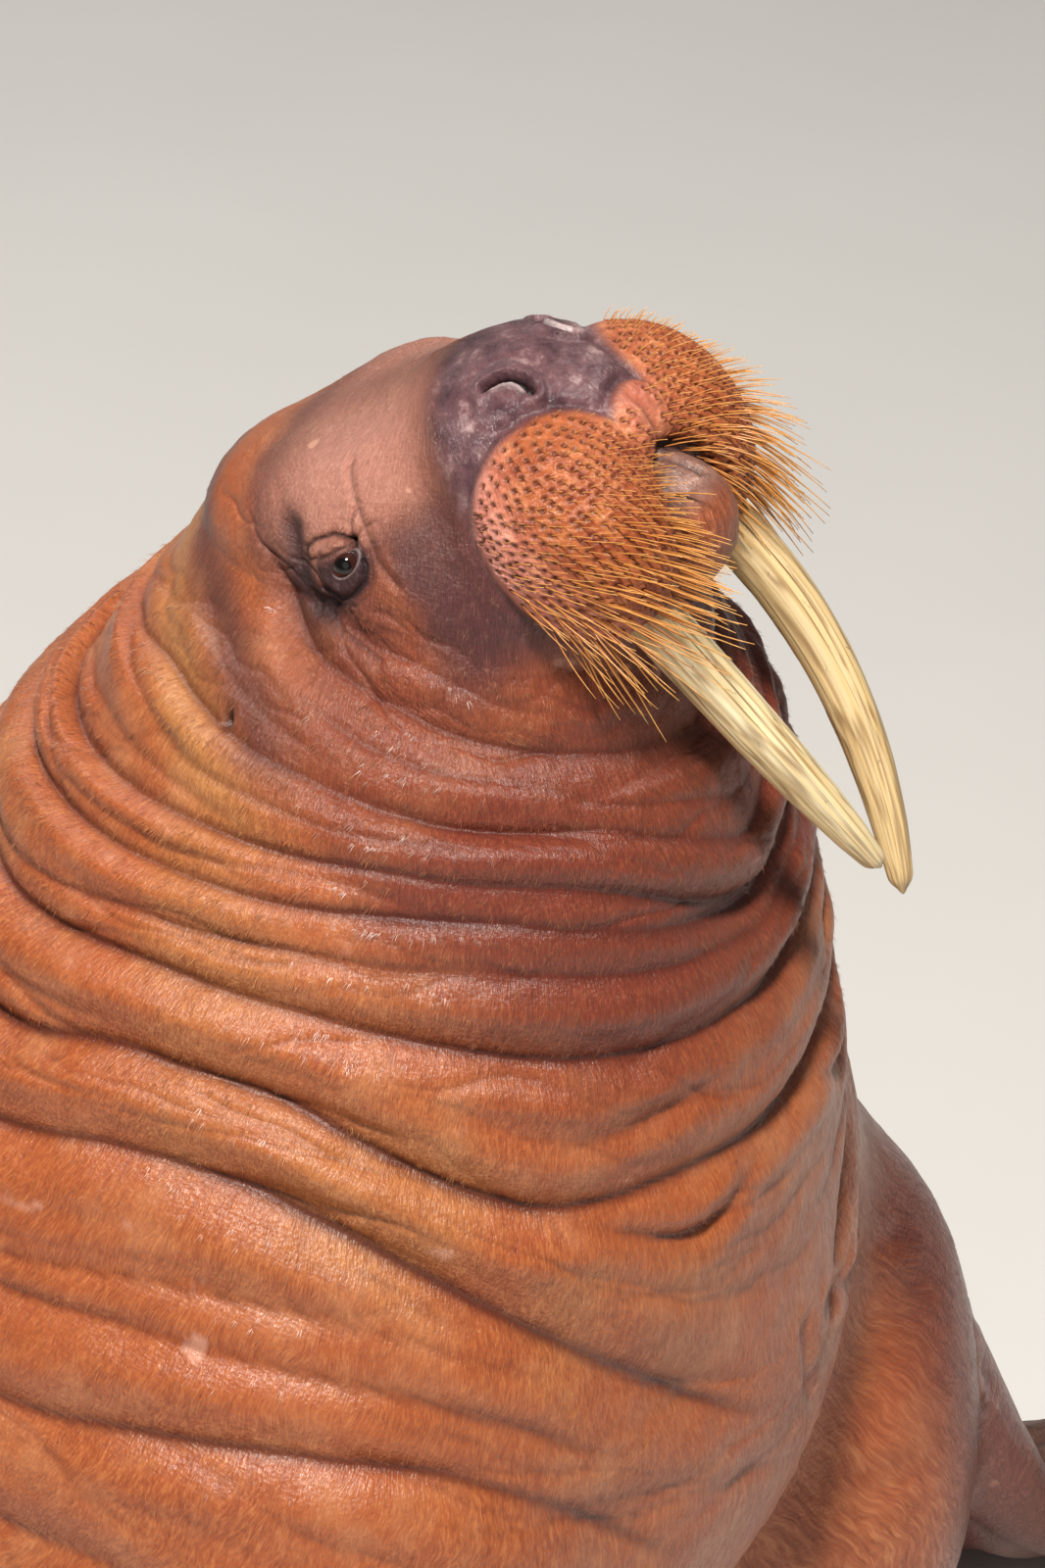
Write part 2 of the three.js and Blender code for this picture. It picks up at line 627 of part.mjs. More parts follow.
// A claw lies on top of each digit, a little back from the margin.
function clawsOf(limb, side) {
  return steps(0, DIGITS - 1, DIGITS - 1).map((k) => {
    const c = ((k - (DIGITS - 1) / 2) * 2) / DIGITS;
    const base = limbPoint(limb, limb.claw.share, c, true, side);
    const next = limbPoint(limb, limb.claw.share + 0.05, c, true, side);
    const way = next.sub(base).normalize();
    const cone = new THREE.ConeGeometry(limb.claw.radius, limb.claw.length, 8);
    cone.translate(0, limb.claw.length * 0.4, 0);
    cone.applyQuaternion(new THREE.Quaternion().setFromUnitVectors(new THREE.Vector3(0, 1, 0), way));
    return solidOf(cone.translate(base.x, base.y, base.z + 1));
  });
}

// The cuts between the parts of the trunk, as lengths along the spine, and the rings between them.
const NECK_CUT = 104;
const CHEST_CUT = 435;
const BELLY_CUT = 815;
const RUMP_CUT = 1400;

const trunkRows = {
  head: [...steps(-DOME * 0.96, 0, 19), 14, 31, 52, 72, NECK_CUT],
  neck: [NECK_CUT, ...foldRings(NECK_CUT + 5, CHEST_CUT - 5), CHEST_CUT],
  chest: [CHEST_CUT, ...foldRings(CHEST_CUT + 5, BELLY_CUT - 5), BELLY_CUT],
  belly: [BELLY_CUT, ...foldRings(BELLY_CUT + 5, 1035), 1110, 1200, 1300, RUMP_CUT],
  rump: [RUMP_CUT, 1500, 1600, 1700, 1800, 1900, 1980, 2040, 2085, SPINE_LENGTH],
};

// The trunk without its cuts and a gap larger, for cutting the limbs to it.
function trunkSpace(from, to) {
  const rows = Object.values(trunkRows).flat().filter((ring) => ring >= from && ring <= to);
  const rings = [...new Set(rows)].map((ring) => skinRing(ring, GAP));
  const outward = wayAcross(rings[rings.length - 1], rings[rings.length - 2]).multiplyScalar(-GAP);
  rings[rings.length - 1].forEach((p) => p.add(outward));
  return solidOf(loft(rings, middleOf(rings[0]), middleOf(rings[rings.length - 1])));
}

const hide = { color: 0x9a5638, roughness: 0.6, metalness: 0 };
const finishes = {
  hide,
  muzzle: { color: 0xb5653f, roughness: 0.55, metalness: 0 },
  ivory: { color: 0xe9dcb4, roughness: 0.35, metalness: 0 },
  eye: { color: 0x24130f, roughness: 0.1, metalness: 0 },
  flipper: { color: 0x6e4334, roughness: 0.7, metalness: 0 },
};

const walrus = new THREE.Group();
walrus.position.y = FOOTPRINT_SHIFT;

function addNode(name, solid, finish) {
  const mesh = new THREE.Mesh(geometryOf(largest(solid)), new THREE.MeshStandardMaterial(finish));
  mesh.name = name;
  walrus.add(mesh);
}

// Head: the skin with lids and ear rims joined on, and the openings cut.
const tuskSolids = { right: tuskSolid(tusks.right), left: tuskSolid(tusks.left) };
const sockets = [tuskSolid(tusks.right, GAP), tuskSolid(tusks.left, GAP)];
const ears = [earParts(1), earParts(-1)];
const lids = [1, -1].map((side) => {
  const size = EYE.radius + EYE.lid;
  return headBall(eyeCentre(side), [size - 1, size + 4, size], 0, [14, 10]);
});
let skull = solidOf(bodyLength(trunkRows.head));
skull = wasm.Manifold.union([skull, ...lids, ears[0].rim, ears[1].rim]);
const openings = [1, -1].flatMap((side) => [eyeBall(side, GAP), eyeOpening(side), nostril(side)]);
skull = skull.subtract(wasm.Manifold.union([...openings, ears[0].pit, ears[1].pit, ...sockets]));

const padSpaces = wasm.Manifold.union([padSpace(1, GAP), padSpace(-1, GAP)]);
const lipCutter = wasm.Manifold.union([lipSpace(GAP), lipSpace(GAP, MOUTH)]);
const jawCutter = wasm.Manifold.union([jawSpace(GAP), jawSpace(GAP, MOUTH), lipCutter]);
const head = largest(skull.subtract(wasm.Manifold.union([padSpaces, jawCutter])));
const jawWhole = wasm.Manifold.union([jawSpace().subtract(padSpaces), lipSpace()]);
const jaw = largest(skull.intersect(jawWhole));
addNode("head", head, finishes.hide);
addNode("lower_jaw", jaw, finishes.muzzle);

const pads = [1, -1].map((side) => {
  const half = skull.intersect(padSpace(side)).intersect(sideOnly(side));
  return largest(half.subtract(lipCutter));
});
[1, -1].forEach((side, i) => {
  const others = wasm.Manifold.union([head, jaw, pads[1 - i], ...sockets]);
  const spines = whiskersOn(side).filter((spine) => spine.intersect(others).volume() < 1e-6);
  addNode(
    side > 0 ? "whisker_pad_left" : "whisker_pad_right",
    wasm.Manifold.union([pads[i], ...spines]),
    finishes.muzzle,
  );
  addNode(side > 0 ? "eye_left" : "eye_right", eyeBall(side), finishes.eye);
});
addNode("tusk_left", tuskSolids.left, finishes.ivory);
addNode("tusk_right", tuskSolids.right, finishes.ivory);

for (const name of ["neck", "chest", "belly"]) {
  addNode(name, solidOf(bodyLength(trunkRows[name])), finishes.hide);
}

// Tail: a short stub between the hind flippers.
const tailRings = [
  { y: 1640, z: 120, wide: 62, high: 46 },
  { y: 1700, z: 104, wide: 52, high: 36 },
  { y: 1760, z: 86, wide: 36, high: 24 },
  { y: 1800, z: 74, wide: 18, high: 13 },
].map(({ y, z, wide, high }) => {
  const [across, up] = [new THREE.Vector3(1, 0, 0), new THREE.Vector3(0, 0.25, 1).normalize()];
  return ellipseRing(new THREE.Vector3(0, y, z), across, up, wide, high, 18);
});
const tailEnds = [new THREE.Vector3(0, 1636, 121), new THREE.Vector3(0, 1808, 71)];
const frontSpace = trunkSpace(300, 1200);
const rearSpace = trunkSpace(1300, SPINE_LENGTH);
const tail = solidOf(loft(tailRings, tailEnds[0], tailEnds[1])).subtract(rearSpace);

const rump = solidOf(bodyLength(trunkRows.rump));
addNode("rump", rump, finishes.hide);
addNode("tail", tail, finishes.hide);
for (const side of [1, -1]) {
  const word = side > 0 ? "left" : "right";
  addNode(`foreflipper_${word}`, limbSolid(foreLimb, side).subtract(frontSpace), finishes.flipper);
  const hind = limbSolid(hindLimb, side).subtract(rearSpace);
  const apart = new THREE.BoxGeometry(900, 900, 900).translate(side * (450 + GAP / 2), 1500, 300);
  addNode(`hind_flipper_${word}`, hind.intersect(solidOf(apart)), finishes.flipper);
}

export default walrus;
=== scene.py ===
"""A walrus sitting up on her foreflippers: skin, coat, whiskers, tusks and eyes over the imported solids."""

import math

import bpy
import numpy as np
from mathutils import Matrix, Vector


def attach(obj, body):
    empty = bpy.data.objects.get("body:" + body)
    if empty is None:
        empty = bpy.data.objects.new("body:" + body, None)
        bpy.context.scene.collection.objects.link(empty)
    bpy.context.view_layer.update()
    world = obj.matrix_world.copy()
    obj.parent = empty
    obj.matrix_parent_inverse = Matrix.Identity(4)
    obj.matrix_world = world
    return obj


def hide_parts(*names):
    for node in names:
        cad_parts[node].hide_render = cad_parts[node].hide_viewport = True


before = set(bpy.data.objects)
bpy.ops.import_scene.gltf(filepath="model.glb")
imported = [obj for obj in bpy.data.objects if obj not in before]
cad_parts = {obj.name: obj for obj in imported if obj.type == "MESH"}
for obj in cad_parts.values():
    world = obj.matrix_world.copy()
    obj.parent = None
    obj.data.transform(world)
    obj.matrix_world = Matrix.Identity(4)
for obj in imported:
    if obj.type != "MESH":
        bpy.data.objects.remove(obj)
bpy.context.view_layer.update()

# The body's shape: the same numbers as the solids, in millimetres, before the shift to the origin
EYE_LINE = np.array([0.0, -16.0, 1268.0])  # midpoint between the eyes
FOOTPRINT_SHIFT = -630.5  # puts the middle of the whole outline over the origin
HEAD_PITCH, HEAD_ROLL, HEAD_YAW = 42, 9.5, 7

# y back, z up, half width, half height towards the back and towards the belly
STATIONS = np.array([
    [-40, 1232, 122, 172, 116],  # skull
    [-40, 1140, 216, 232, 212],  # throat
    [-28, 1020, 286, 292, 284],  # neck
    [39, 780, 384, 370, 388],  # withers
    [130, 600, 438, 402, 436],  # chest
    [300, 450, 455, 415, 440],  # ribs
    [580, 370, 435, 385, 395],  # loin
    [920, 315, 370, 320, 335],  # hips
    [1250, 245, 275, 232, 250],  # rump
    [1510, 165, 175, 142, 160],  # ankles
    [1650, 118, 120, 100, 114],  # stern
    [1712, 100, 52, 42, 50],  # end
], float)
ROUNDNESS, CROWN, DOME, STERN_DOME = 2.15, 84, 240, 55

# Stretched balls: middle, half sizes, blend. The hollow ones are taken away.
HEAD_FORMS = {
    "cranium": ([0, 52, -42], [112, 130, 114], 40),
    "snout": ([0, -84, -33], [94, 118, 95], 44),
    "nose": ([0, -128, -8], [76, 58, 56], 30),
    "pad": ([60, -149, -74], [63, 66, 82], 20),
    "philtrum": ([0, -158, -40], [48, 54, 44], 26),
    "cheek": ([78, -10, -95], [66, 100, 92], 44),
    "brow": ([66, 8, 22], [42, 72, 46], 34),
    "nape": ([0, 102, -54], [112, 95, 92], 60),
    "bridge": ([0, -52, 9], [62, 70, 47], 34),
    "gullet": ([0, 10, -160], [125, 125, 80], 50),
    "mouth": ([0, -204, -142], [46, 54, 64], 14),
    "chin": ([0, -139, -118], [44, 82, 60], 12),
}
HOLLOW_FORMS = {"mouth"}
TRUNK_FORMS = {
    "shoulder": ([240, -50, 530], [200, 200, 260], 110),
    "upper arm": ([342, -172, 338], [142, 158, 205], 80),
    "breast": ([0, -150, 520], [230, 160, 200], 100),
    "armpit": ([278, -180, 215], [172, 176, 195], 80),
    "haunch": ([215, 1180, 175], [150, 230, 160], 90),
}
COAT_DEPTH = 1.6  # how far the skin lies inside the solids
HEAD_BELOW = 420  # how far under the eyes the head's forms are felt
# Search for the skin along a ray: how far out it starts, its steps, its range about a guess, and rounds
FIRST_REACH, FIRST_STEP, GUESS_RANGE, SEARCH_ROUNDS = 330.0, 14.0, 26.0, 13
SEEDS = {"wrinkles": 5, "roots": 40, "whiskers": 70, "tusk": 90, "coat": 300}


def turned(axis, degrees):
    c, s = math.cos(math.radians(degrees)), math.sin(math.radians(degrees))
    return np.array({
        "x": [[1, 0, 0], [0, c, -s], [0, s, c]],
        "y": [[c, 0, s], [0, 1, 0], [-s, 0, c]],
        "z": [[c, -s, 0], [s, c, 0], [0, 0, 1]],
    }[axis])


HEAD_TURN = turned("z", -HEAD_YAW) @ turned("x", -HEAD_PITCH) @ turned("y", -HEAD_ROLL)


def to_head(points):
    return (points - EYE_LINE) @ HEAD_TURN


def from_head(points):
    return np.asarray(points, float) @ HEAD_TURN.T + EYE_LINE


def smoothstep(x, low, high):
    t = np.clip((x - low) / (high - low), 0, 1)
    return t * t * (3 - 2 * t)


def unit(vectors):
    return vectors / np.maximum(np.linalg.norm(vectors, axis=-1, keepdims=True), 1e-12)


def curve_at(points, share):
    """A smooth curve through points, and its value at a share (0 to 1) of them."""
    p = np.asarray(points, float)
    p = np.concatenate([[2 * p[0] - p[1]], p, [2 * p[-1] - p[-2]]])
    place = np.clip(np.asarray(share, float), 0, 1) * (len(p) - 3)
    i = np.minimum(np.floor(place).astype(int), len(p) - 4)
    w = (place - i)[..., None]
    a, b, c, d = p[i], p[i + 1], p[i + 2], p[i + 3]
    first, last = 0.5 * (c - a), 0.5 * (d - b)
    square, cube = 3 * (c - b) - 2 * first - last, 2 * (b - c) + first + last
    return b + first * w + square * w**2 + cube * w**3


def way_along(points, share, step):
    """The way of the smooth curve through points at a share of them."""
    ahead, behind = np.minimum(share + step, 1), np.maximum(share - step, 0)
    return unit(curve_at(points, ahead) - curve_at(points, behind))


SPINE = np.insert(STATIONS[:, :2], 0, 0, axis=1)
GIRTH = STATIONS[:, 2:]
_shares = np.linspace(0, 1, 401)
_steps = np.linalg.norm(np.diff(curve_at(SPINE, _shares), axis=0), axis=1)
_lengths = np.concatenate([[0], np.cumsum(_steps)])
SPINE_LENGTH = _lengths[-1]


def soften(a, b, blend):
    near = np.maximum(blend - np.abs(a - b), 0) / blend
    return np.minimum(a, b) - near * near * blend / 4


def mirrored(at, side):
    """A place of the left side (1), or the same place of the right side (-1)."""
    return np.array(at, float) * [side, 1, 1]


def outside(points, at, size):
    """About how far points lie outside a stretched ball."""
    size = np.asarray(size, float)
    q = (points - np.asarray(at, float)) / size
    share = np.sqrt((q * q).sum(-1))
    slope = np.sqrt(((q / size) ** 2).sum(-1))
    return share * (share - 1) / np.maximum(slope, 1e-9)


def with_forms(distance, points, forms):
    for name, (at, size, blend) in forms.items():
        for side in (1, -1) if at[0] > 0 else (1,):
            away = outside(points, mirrored(at, side), size)
            if name in HOLLOW_FORMS:
                distance = -soften(-distance, away, blend)
            else:
                distance = soften(distance, away, blend)
    return distance


def rays(length, turn):
    """The rays of the skin: origin, direction and plain radius, at lengths along the spine and turns."""
    share = np.interp(np.clip(length, 0, SPINE_LENGTH), _lengths, _shares)
    origin, girth = curve_at(SPINE, share), curve_at(GIRTH, share)
    down = way_along(SPINE, share, 1e-4)
    way = np.stack([0 * turn, -down[..., 2], down[..., 1]], -1) * np.cos(turn)[..., None]
    way[..., 0] += np.sin(turn)
    across = np.abs(np.sin(turn)) / girth[..., 0]
    along = np.abs(np.cos(turn)) / np.where(np.cos(turn) > 0, girth[..., 1], girth[..., 2])
    plain = (across**ROUNDNESS + along**ROUNDNESS) ** (-1 / ROUNDNESS)
    lift = np.where(length < 0, -length / DOME * math.pi / 2, 0)
    dome = 1 / np.hypot(np.cos(lift) / plain, np.sin(lift) / CROWN)
    plain = np.where(length < 0, dome, plain)
    end = np.clip((SPINE_LENGTH - length) / STERN_DOME, 0, 1)
    plain = plain * np.sqrt(np.maximum(end * (2 - end), 0.01))
    return origin, way * np.cos(lift)[..., None] - down * np.sin(lift)[..., None], plain


def distance_at(origin, way, plain, reach):
    """How far the points of rays lie outside the skin without its folds."""
    points = origin + way * reach[:, None]
    distance = with_forms(reach - plain, points, TRUNK_FORMS)
    near_head = points[:, 2] > EYE_LINE[2] - HEAD_BELOW
    distance[near_head] = with_forms(distance[near_head], to_head(points[near_head]), HEAD_FORMS)
    return distance


def reach_of(length, turn, guess=None):
    """How far along its ray each skin point lies, from outside inwards, or within a range of a guess."""
    origin, way, plain = (a.reshape(-1, *a.shape[length.ndim:]) for a in rays(length, turn))
    if guess is None:
        outer = plain + FIRST_REACH
        todo = np.arange(len(plain))
        while len(todo):
            away = distance_at(origin[todo], way[todo], plain[todo], outer[todo]) > 0
            todo = todo[away]
            outer[todo] -= FIRST_STEP
        inner, outer = outer, outer + FIRST_STEP
    else:
        inner, outer = guess.ravel() - GUESS_RANGE, guess.ravel() + GUESS_RANGE
    d_in = distance_at(origin, way, plain, inner)
    d_out = distance_at(origin, way, plain, outer)
    for k in range(SEARCH_ROUNDS):
        if k % 2:
            middle = (inner + outer) / 2
        else:
            middle = np.clip(inner - d_in * (outer - inner) / (d_out - d_in + 1e-9), inner, outer)
        d = distance_at(origin, way, plain, middle)
        beyond = d > 0
        outer, d_out = np.where(beyond, middle, outer), np.where(beyond, d, d_out)
        inner, d_in = np.where(beyond, inner, middle), np.where(beyond, d_in, d)
    bad = (d_in > 1) | (d_out < -1)
    reach = (inner + outer) / 2
    if guess is not None and bad.any():
        reach[bad] = reach_of(length.ravel()[bad], turn.ravel()[bad])
    return reach.reshape(length.shape)


def noise(points, scale, seed, octaves=1):
    """Smooth noise between -1 and 1. scale is the size of its lumps."""
    total, weight = np.zeros(points.shape[:-1]), 0.0
    for k in range(octaves):
        table = np.random.default_rng(seed + 31 * k).uniform(-1, 1, (32, 32, 32))
        q = points * (2**k / np.asarray(scale, float)) + 5.37 * k
        cell = np.floor(q).astype(int)
        f = q - cell
        f = f * f * (3 - 2 * f)
        part = 0
        for corner in range(8):
            offset = np.array([corner & 1, corner >> 1 & 1, corner >> 2])
            i = cell + offset & 31
            w = np.where(offset, f, 1 - f).prod(-1)
            part = part + w * table[i[..., 0], i[..., 1], i[..., 2]]
        total, weight = total + part * 0.5**k, weight + 0.5**k
    return total / weight


# Folds and creases

# How the rings bend, at lengths along the spine: how much higher on the flanks, and on the back.
BEND_AT = [-90, 31, 118, 163, 207, 242, 280, 370, 500, 575, 660, 755, 880, 1030]
BEND_ARCH = [0, 9, 41, 42, 46, 50, 54, 78, 146, 116, 128, 96, 60, 20]
BEND_LEAN = [0, 45, 30, 8, -22, -32, -28, -26, -20, -50, -60, -40, -20, 0]


def bend_of(ring, turn):
    flank = np.sin(turn) ** 2 * (1 - 0.35 * np.cos(turn))
    arch, lean = np.interp(ring, BEND_AT, BEND_ARCH), np.interp(ring, BEND_AT, BEND_LEAN)
    return arch * flank + lean * np.cos(turn)


# Each crease: depth, width of its slopes, and where it runs on her right side, as degrees round
# from the back and length along the spine. Her left side has them mirrored and a little moved.
CREASES = [
    (4.0, 7, [(76, -7), (92, 10), (108, 13), (120, 27), (131, 43), (145, 47)]),
    (8.5, 10, [(53, -33), (62, 0), (77, 20), (92, 30), (118, 52), (134, 64), (151, 77), (180, 92)]),
    (5.0, 8, [(80, 43), (93, 57), (115, 72), (137, 83), (158, 112), (180, 140)]),
    (3.5, 8, [(36, 16), (46, 27), (60, 47), (74, 60), (94, 74)]),
    (9.0, 9, [(0, 74), (8, 77), (42, 60), (64, 73), (82, 83), (114, 93), (143, 110), (158, 133),
              (180, 160)]),
    (3.0, 5, [(131, 103), (140, 114), (150, 137), (162, 156)]),
    (6.0, 8, [(22, 76), (43, 87), (62, 100), (79, 103), (95, 110), (121, 111)]),
    (5.5, 7, [(0, 150), (20, 123), (40, 113), (60, 113), (82, 124)]),
    (11.0, 9, [(0, 158), (19, 153), (43, 137), (78, 127), (107, 127), (134, 137), (148, 150), (164, 170),
               (180, 186)]),
    (5.0, 8, [(36, 182), (59, 157), (75, 150), (89, 140), (102, 137), (117, 150)]),
    (11.5, 10, [(0, 224), (29, 210), (45, 190), (61, 177), (75, 167), (102, 153), (127, 150), (140, 160),
                (180, 192)]),
    (8.0, 9, [(0, 278), (45, 257), (60, 227), (73, 203), (98, 180), (122, 173), (148, 187), (164, 193),
              (180, 204)]),
    (12.0, 11, [(0, 292), (49, 270), (63, 250), (75, 233), (99, 217), (121, 220), (160, 233),
                (180, 238)]),
    (3.5, 6, [(124, 228), (134, 237), (139, 243), (147, 268)]),
    (4.0, 8, [(40, 330), (58, 313), (65, 300), (76, 280)]),
    (14.0, 13, [(0, 395), (62, 337), (74, 297), (87, 280), (100, 277), (111, 290), (123, 307), (135, 322),
                (147, 320), (162, 317), (180, 326)]),
    (8.0, 8, [(141, 328), (151, 350), (161, 367), (166, 352), (171, 333)]),
    (5.0, 7, [(138, 278), (148, 273), (155, 270), (164, 262)]),
    (14.0, 15, [(0, 540), (69, 393), (80, 357), (92, 343), (103, 340), (114, 350), (124, 367), (135, 393),
                (147, 427), (162, 470), (171, 510)]),
    (6.0, 9, [(60, 510), (77, 473), (84, 447), (92, 423), (106, 400), (121, 397), (141, 424)]),
    (8.0, 11, [(0, 640), (79, 493), (94, 453), (108, 430), (121, 423), (136, 443), (149, 480)]),
    (12.0, 14, [(0, 730), (86, 563), (98, 510), (111, 473), (124, 463), (131, 470), (139, 490),
                (148, 520), (160, 565)]),
    (8.0, 12, [(0, 800), (93, 640), (101, 597), (118, 590), (140, 640)]),
    (11.0, 16, [(0, 880), (60, 800), (100, 712), (130, 712), (160, 770), (180, 800)]),
    (9.0, 16, [(0, 985), (60, 930), (105, 872), (150, 900), (180, 930)]),
    (8.0, 18, [(0, 1110), (70, 1060), (120, 1030), (180, 1060)]),
    (6.0, 20, [(0, 1290), (90, 1240), (180, 1250)]),
    (5.0, 20, [(0, 1480), (90, 1450), (180, 1460)]),
]
# Creases that cross the folds of the breast: depth, width and points, on her left side only.
BREAST_CREASES = [
    (6.5, 9, [(316, -296, 487), (286, -289, 491), (249, -282, 501), (120, -317, 575), (60, -325, 600)]),
    (4.0, 7, [(272, -278, 538), (238, -280, 540), (215, -283, 522)]),
    (6.0, 8, [(11, -331, 615), (17, -333, 574), (41, -327, 509), (70, -318, 440)]),
    (3.5, 7, [(300, -300, 450), (330, -300, 420), (345, -290, 370)]),
]
ROLL = 0.34  # how far a roll stands out beside a crease, as a share of the crease's depth
DEEPER = 1.22  # how much deeper the long creases are than their table says
ARM_CALM = 0.75  # how far the folds fade out on the arm
FINE_WRINKLES = 330
# How blunt the bottom of a crease is, and the height taken off for it
LONG_EDGE, FINE_EDGE, FACE_EDGE, LID_EDGE = (1.4, 1.2), (0.6, 0.7), (1, 1), (0.6, 0.77)
DEGREES = np.linspace(0, 180, 361)


def crease_line(points, k, left):
    """The length along the spine of a crease for each of DEGREES, and its strength there."""
    at = np.array([p[0] for p in points], float)
    line = np.interp(DEGREES, at, [p[1] for p in points])
    kernel = np.exp(-0.5 * (np.arange(-24, 25) / 7) ** 2)
    padded = np.concatenate([line[24:0:-1], line, line[-2:-26:-1]])
    line = np.convolve(padded, kernel / kernel.sum(), "valid")
    inside = np.sin(np.radians(DEGREES))
    wave = np.sin(DEGREES / 17 + 1.9 * k) + 0.6 * np.sin(DEGREES / 7.3 + 2.7 * k)
    line = line + inside * (wave * 8 if left else wave * 1.2)
    strength = 0.86 + 0.14 * np.sin(DEGREES / 11 + k * 2.3 + (1.4 if left else 0))
    if at[0] > 3:
        strength = strength * smoothstep(DEGREES, at[0] - 4, at[0] + 12)
    if at[-1] < 177:
        strength = strength * smoothstep(DEGREES, at[-1] + 4, at[-1] - 12)
    return line, strength


def fine_wrinkles():
    """Short shallow creases between the main ones: depth, width, middle turn, half span, ring, slope."""
    rng = np.random.default_rng(SEEDS["wrinkles"])
    made = []
    for _ in range(FINE_WRINKLES):
        ring = rng.uniform(0, 1) ** 1.3 * 1000 - 10
        made.append((
            rng.uniform(0.9, 2.6) * (1 + ring / 1200), rng.uniform(2.6, 4.6) * (1 + ring / 500),
            rng.uniform(0, 2 * math.pi), math.radians(rng.uniform(9, 30)), ring, rng.normal(0, 16),
        ))
    return made


def near_line(points, line):
    """How far points lie from a line of short straight pieces."""
    best = np.full(points.shape[:-1], 1e9)
    for a, b in zip(line[:-1], line[1:]):
        a, b = np.asarray(a, float), np.asarray(b, float)
        t = np.clip(((points - a) @ (b - a)) / ((b - a) @ (b - a)), 0, 1)
        best = np.minimum(best, np.linalg.norm(points - a - t[..., None] * (b - a), axis=-1))
    return best


def hump(x, middle, wide):
    return np.exp(-(((x - middle) / wide) ** 2))


def cusp(away, wide, edge):
    """A crease's depth at points, as a share: 1 along its bottom, which is sharp."""
    blunt, top = edge
    return np.exp(-(np.sqrt(away**2 + blunt) - top) / wide)


def fold_skin(points, length, ring, turn, arm):
    """How deep creases press the skin in, and the painted shade in them at each point (0 to 1)."""
    left = turn < math.pi
    round_back = np.degrees(np.where(left, turn, 2 * math.pi - turn))
    depth, shade = np.zeros(length.shape), np.zeros(length.shape)
    calm = 1 - ARM_CALM * arm
    for k, (deep, wide, course) in enumerate(CREASES):
        sides = [[np.interp(round_back, DEGREES, values) for values in crease_line(course, k, on_left)]
                 for on_left in (True, False)]
        at, power = (np.where(left, *both) for both in zip(*sides))
        slope = np.gradient(at, axis=1) / np.gradient(turn, axis=1)
        away = np.abs(length - at) / np.sqrt(1 + (slope / 330) ** 2)
        power = power * calm
        depth += DEEPER * deep * power * cusp(away, wide, LONG_EDGE)
        depth -= ROLL * deep * power * hump(away, 2.3 * wide, 1.1 * wide)
        shade += deep / 11 * power * hump(away, 0, 1.5 + deep * 0.2)
    for deep, wide, middle, span, at_ring, slope in fine_wrinkles():
        off = (turn - middle + math.pi) % (2 * math.pi) - math.pi
        rows = np.abs(ring[:, 0] - at_ring) < 6 * wide + 40
        power = np.maximum(0, 1 - (off[rows] / span) ** 2) * calm[rows]
        wave = 3 * np.sin(off[rows] * 21 + at_ring)
        away = np.abs(ring[rows] - at_ring - slope * off[rows] / span - wave)
        depth[rows] += deep * power * cusp(away, wide, FINE_EDGE)
        shade[rows] += 0.35 * power * hump(away, 0, 1.8)
    for deep, wide, line in BREAST_CREASES:
        away = near_line(points, line)
        depth += deep * cusp(away, wide, LONG_EDGE) - 0.3 * deep * hump(away, 2.2 * wide, wide)
        shade += deep / 10 * hump(away, 0, 1.5 + deep * 0.2)
    return depth, np.clip(shade, 0, 1)


# Features of the head, in its own frame: x left, y back, z up, from the midpoint between the eyes

EYE_Y, EYE_Z, EYE_SUNK, EYE_RADIUS = -13.4, -0.5, 5.0, 16.0
GAZE, LID_TILT = (0.88, -0.40, 0.20), 24.0  # the eyes' look: outward, back, up; the lean of the slit
EYE_OPEN = (0.80, 0.47)  # half angles of the slit between the lids, in radians
LID_THICK, LID_BLEND = 1.4, 5.0
# Creases round an eye, on the plane its gaze is square to: depth, width, strength of their painted shade,
# and points along and across the slit. Then the folds between them: height, width and points.
LID_CREASES = [
    (4.2, 2.0, 0.9, [(-14, 26), (-9, 30), (-1, 28), (6, 23), (12, 18.5), (15.5, 13), (17, 5)]),
    (2.4, 2.4, 0.55, [(-15, 25), (-9.4, 18.4), (0, 12.5), (7, 8.8), (13, 4.8), (17, 4)]),
    (4.2, 2.2, 0.95, [(-25, 5), (-23.5, -10), (-15, -17), (-1, -18.5), (9, -12), (15, -2), (17, 5)]),
    (1.6, 1.4, 0.4, [(-30, -8), (-20, -22), (-6, -26), (8, -21), (18, -10)]),
    (1.8, 1.3, 0.5, [(17, 5), (27, 12), (36, 14)]),
    (1.6, 1.3, 0.4, [(17, 4), (28, 3), (38, -1)]),
]
LID_FOLDS = [
    (3.0, 4.5, [(-11, 25), (-4, 21.5), (4, 16), (11, 10)]),
    (2.2, 4.0, [(-18, 2), (-17, -7), (-10, -13), (0, -13), (8, -7)]),
]
LID_RECESS = [(-24, 32), (-36, 17), (-31, -3), (-20, -12)]  # painted shade in the recess behind the lids, on the same plane
BEHIND_EYE = [(9, 42), (17, 24), (21, 6), (20, -8), (12, -14)]  # the hollow behind an eye, pressed in and given painted shade, back and up
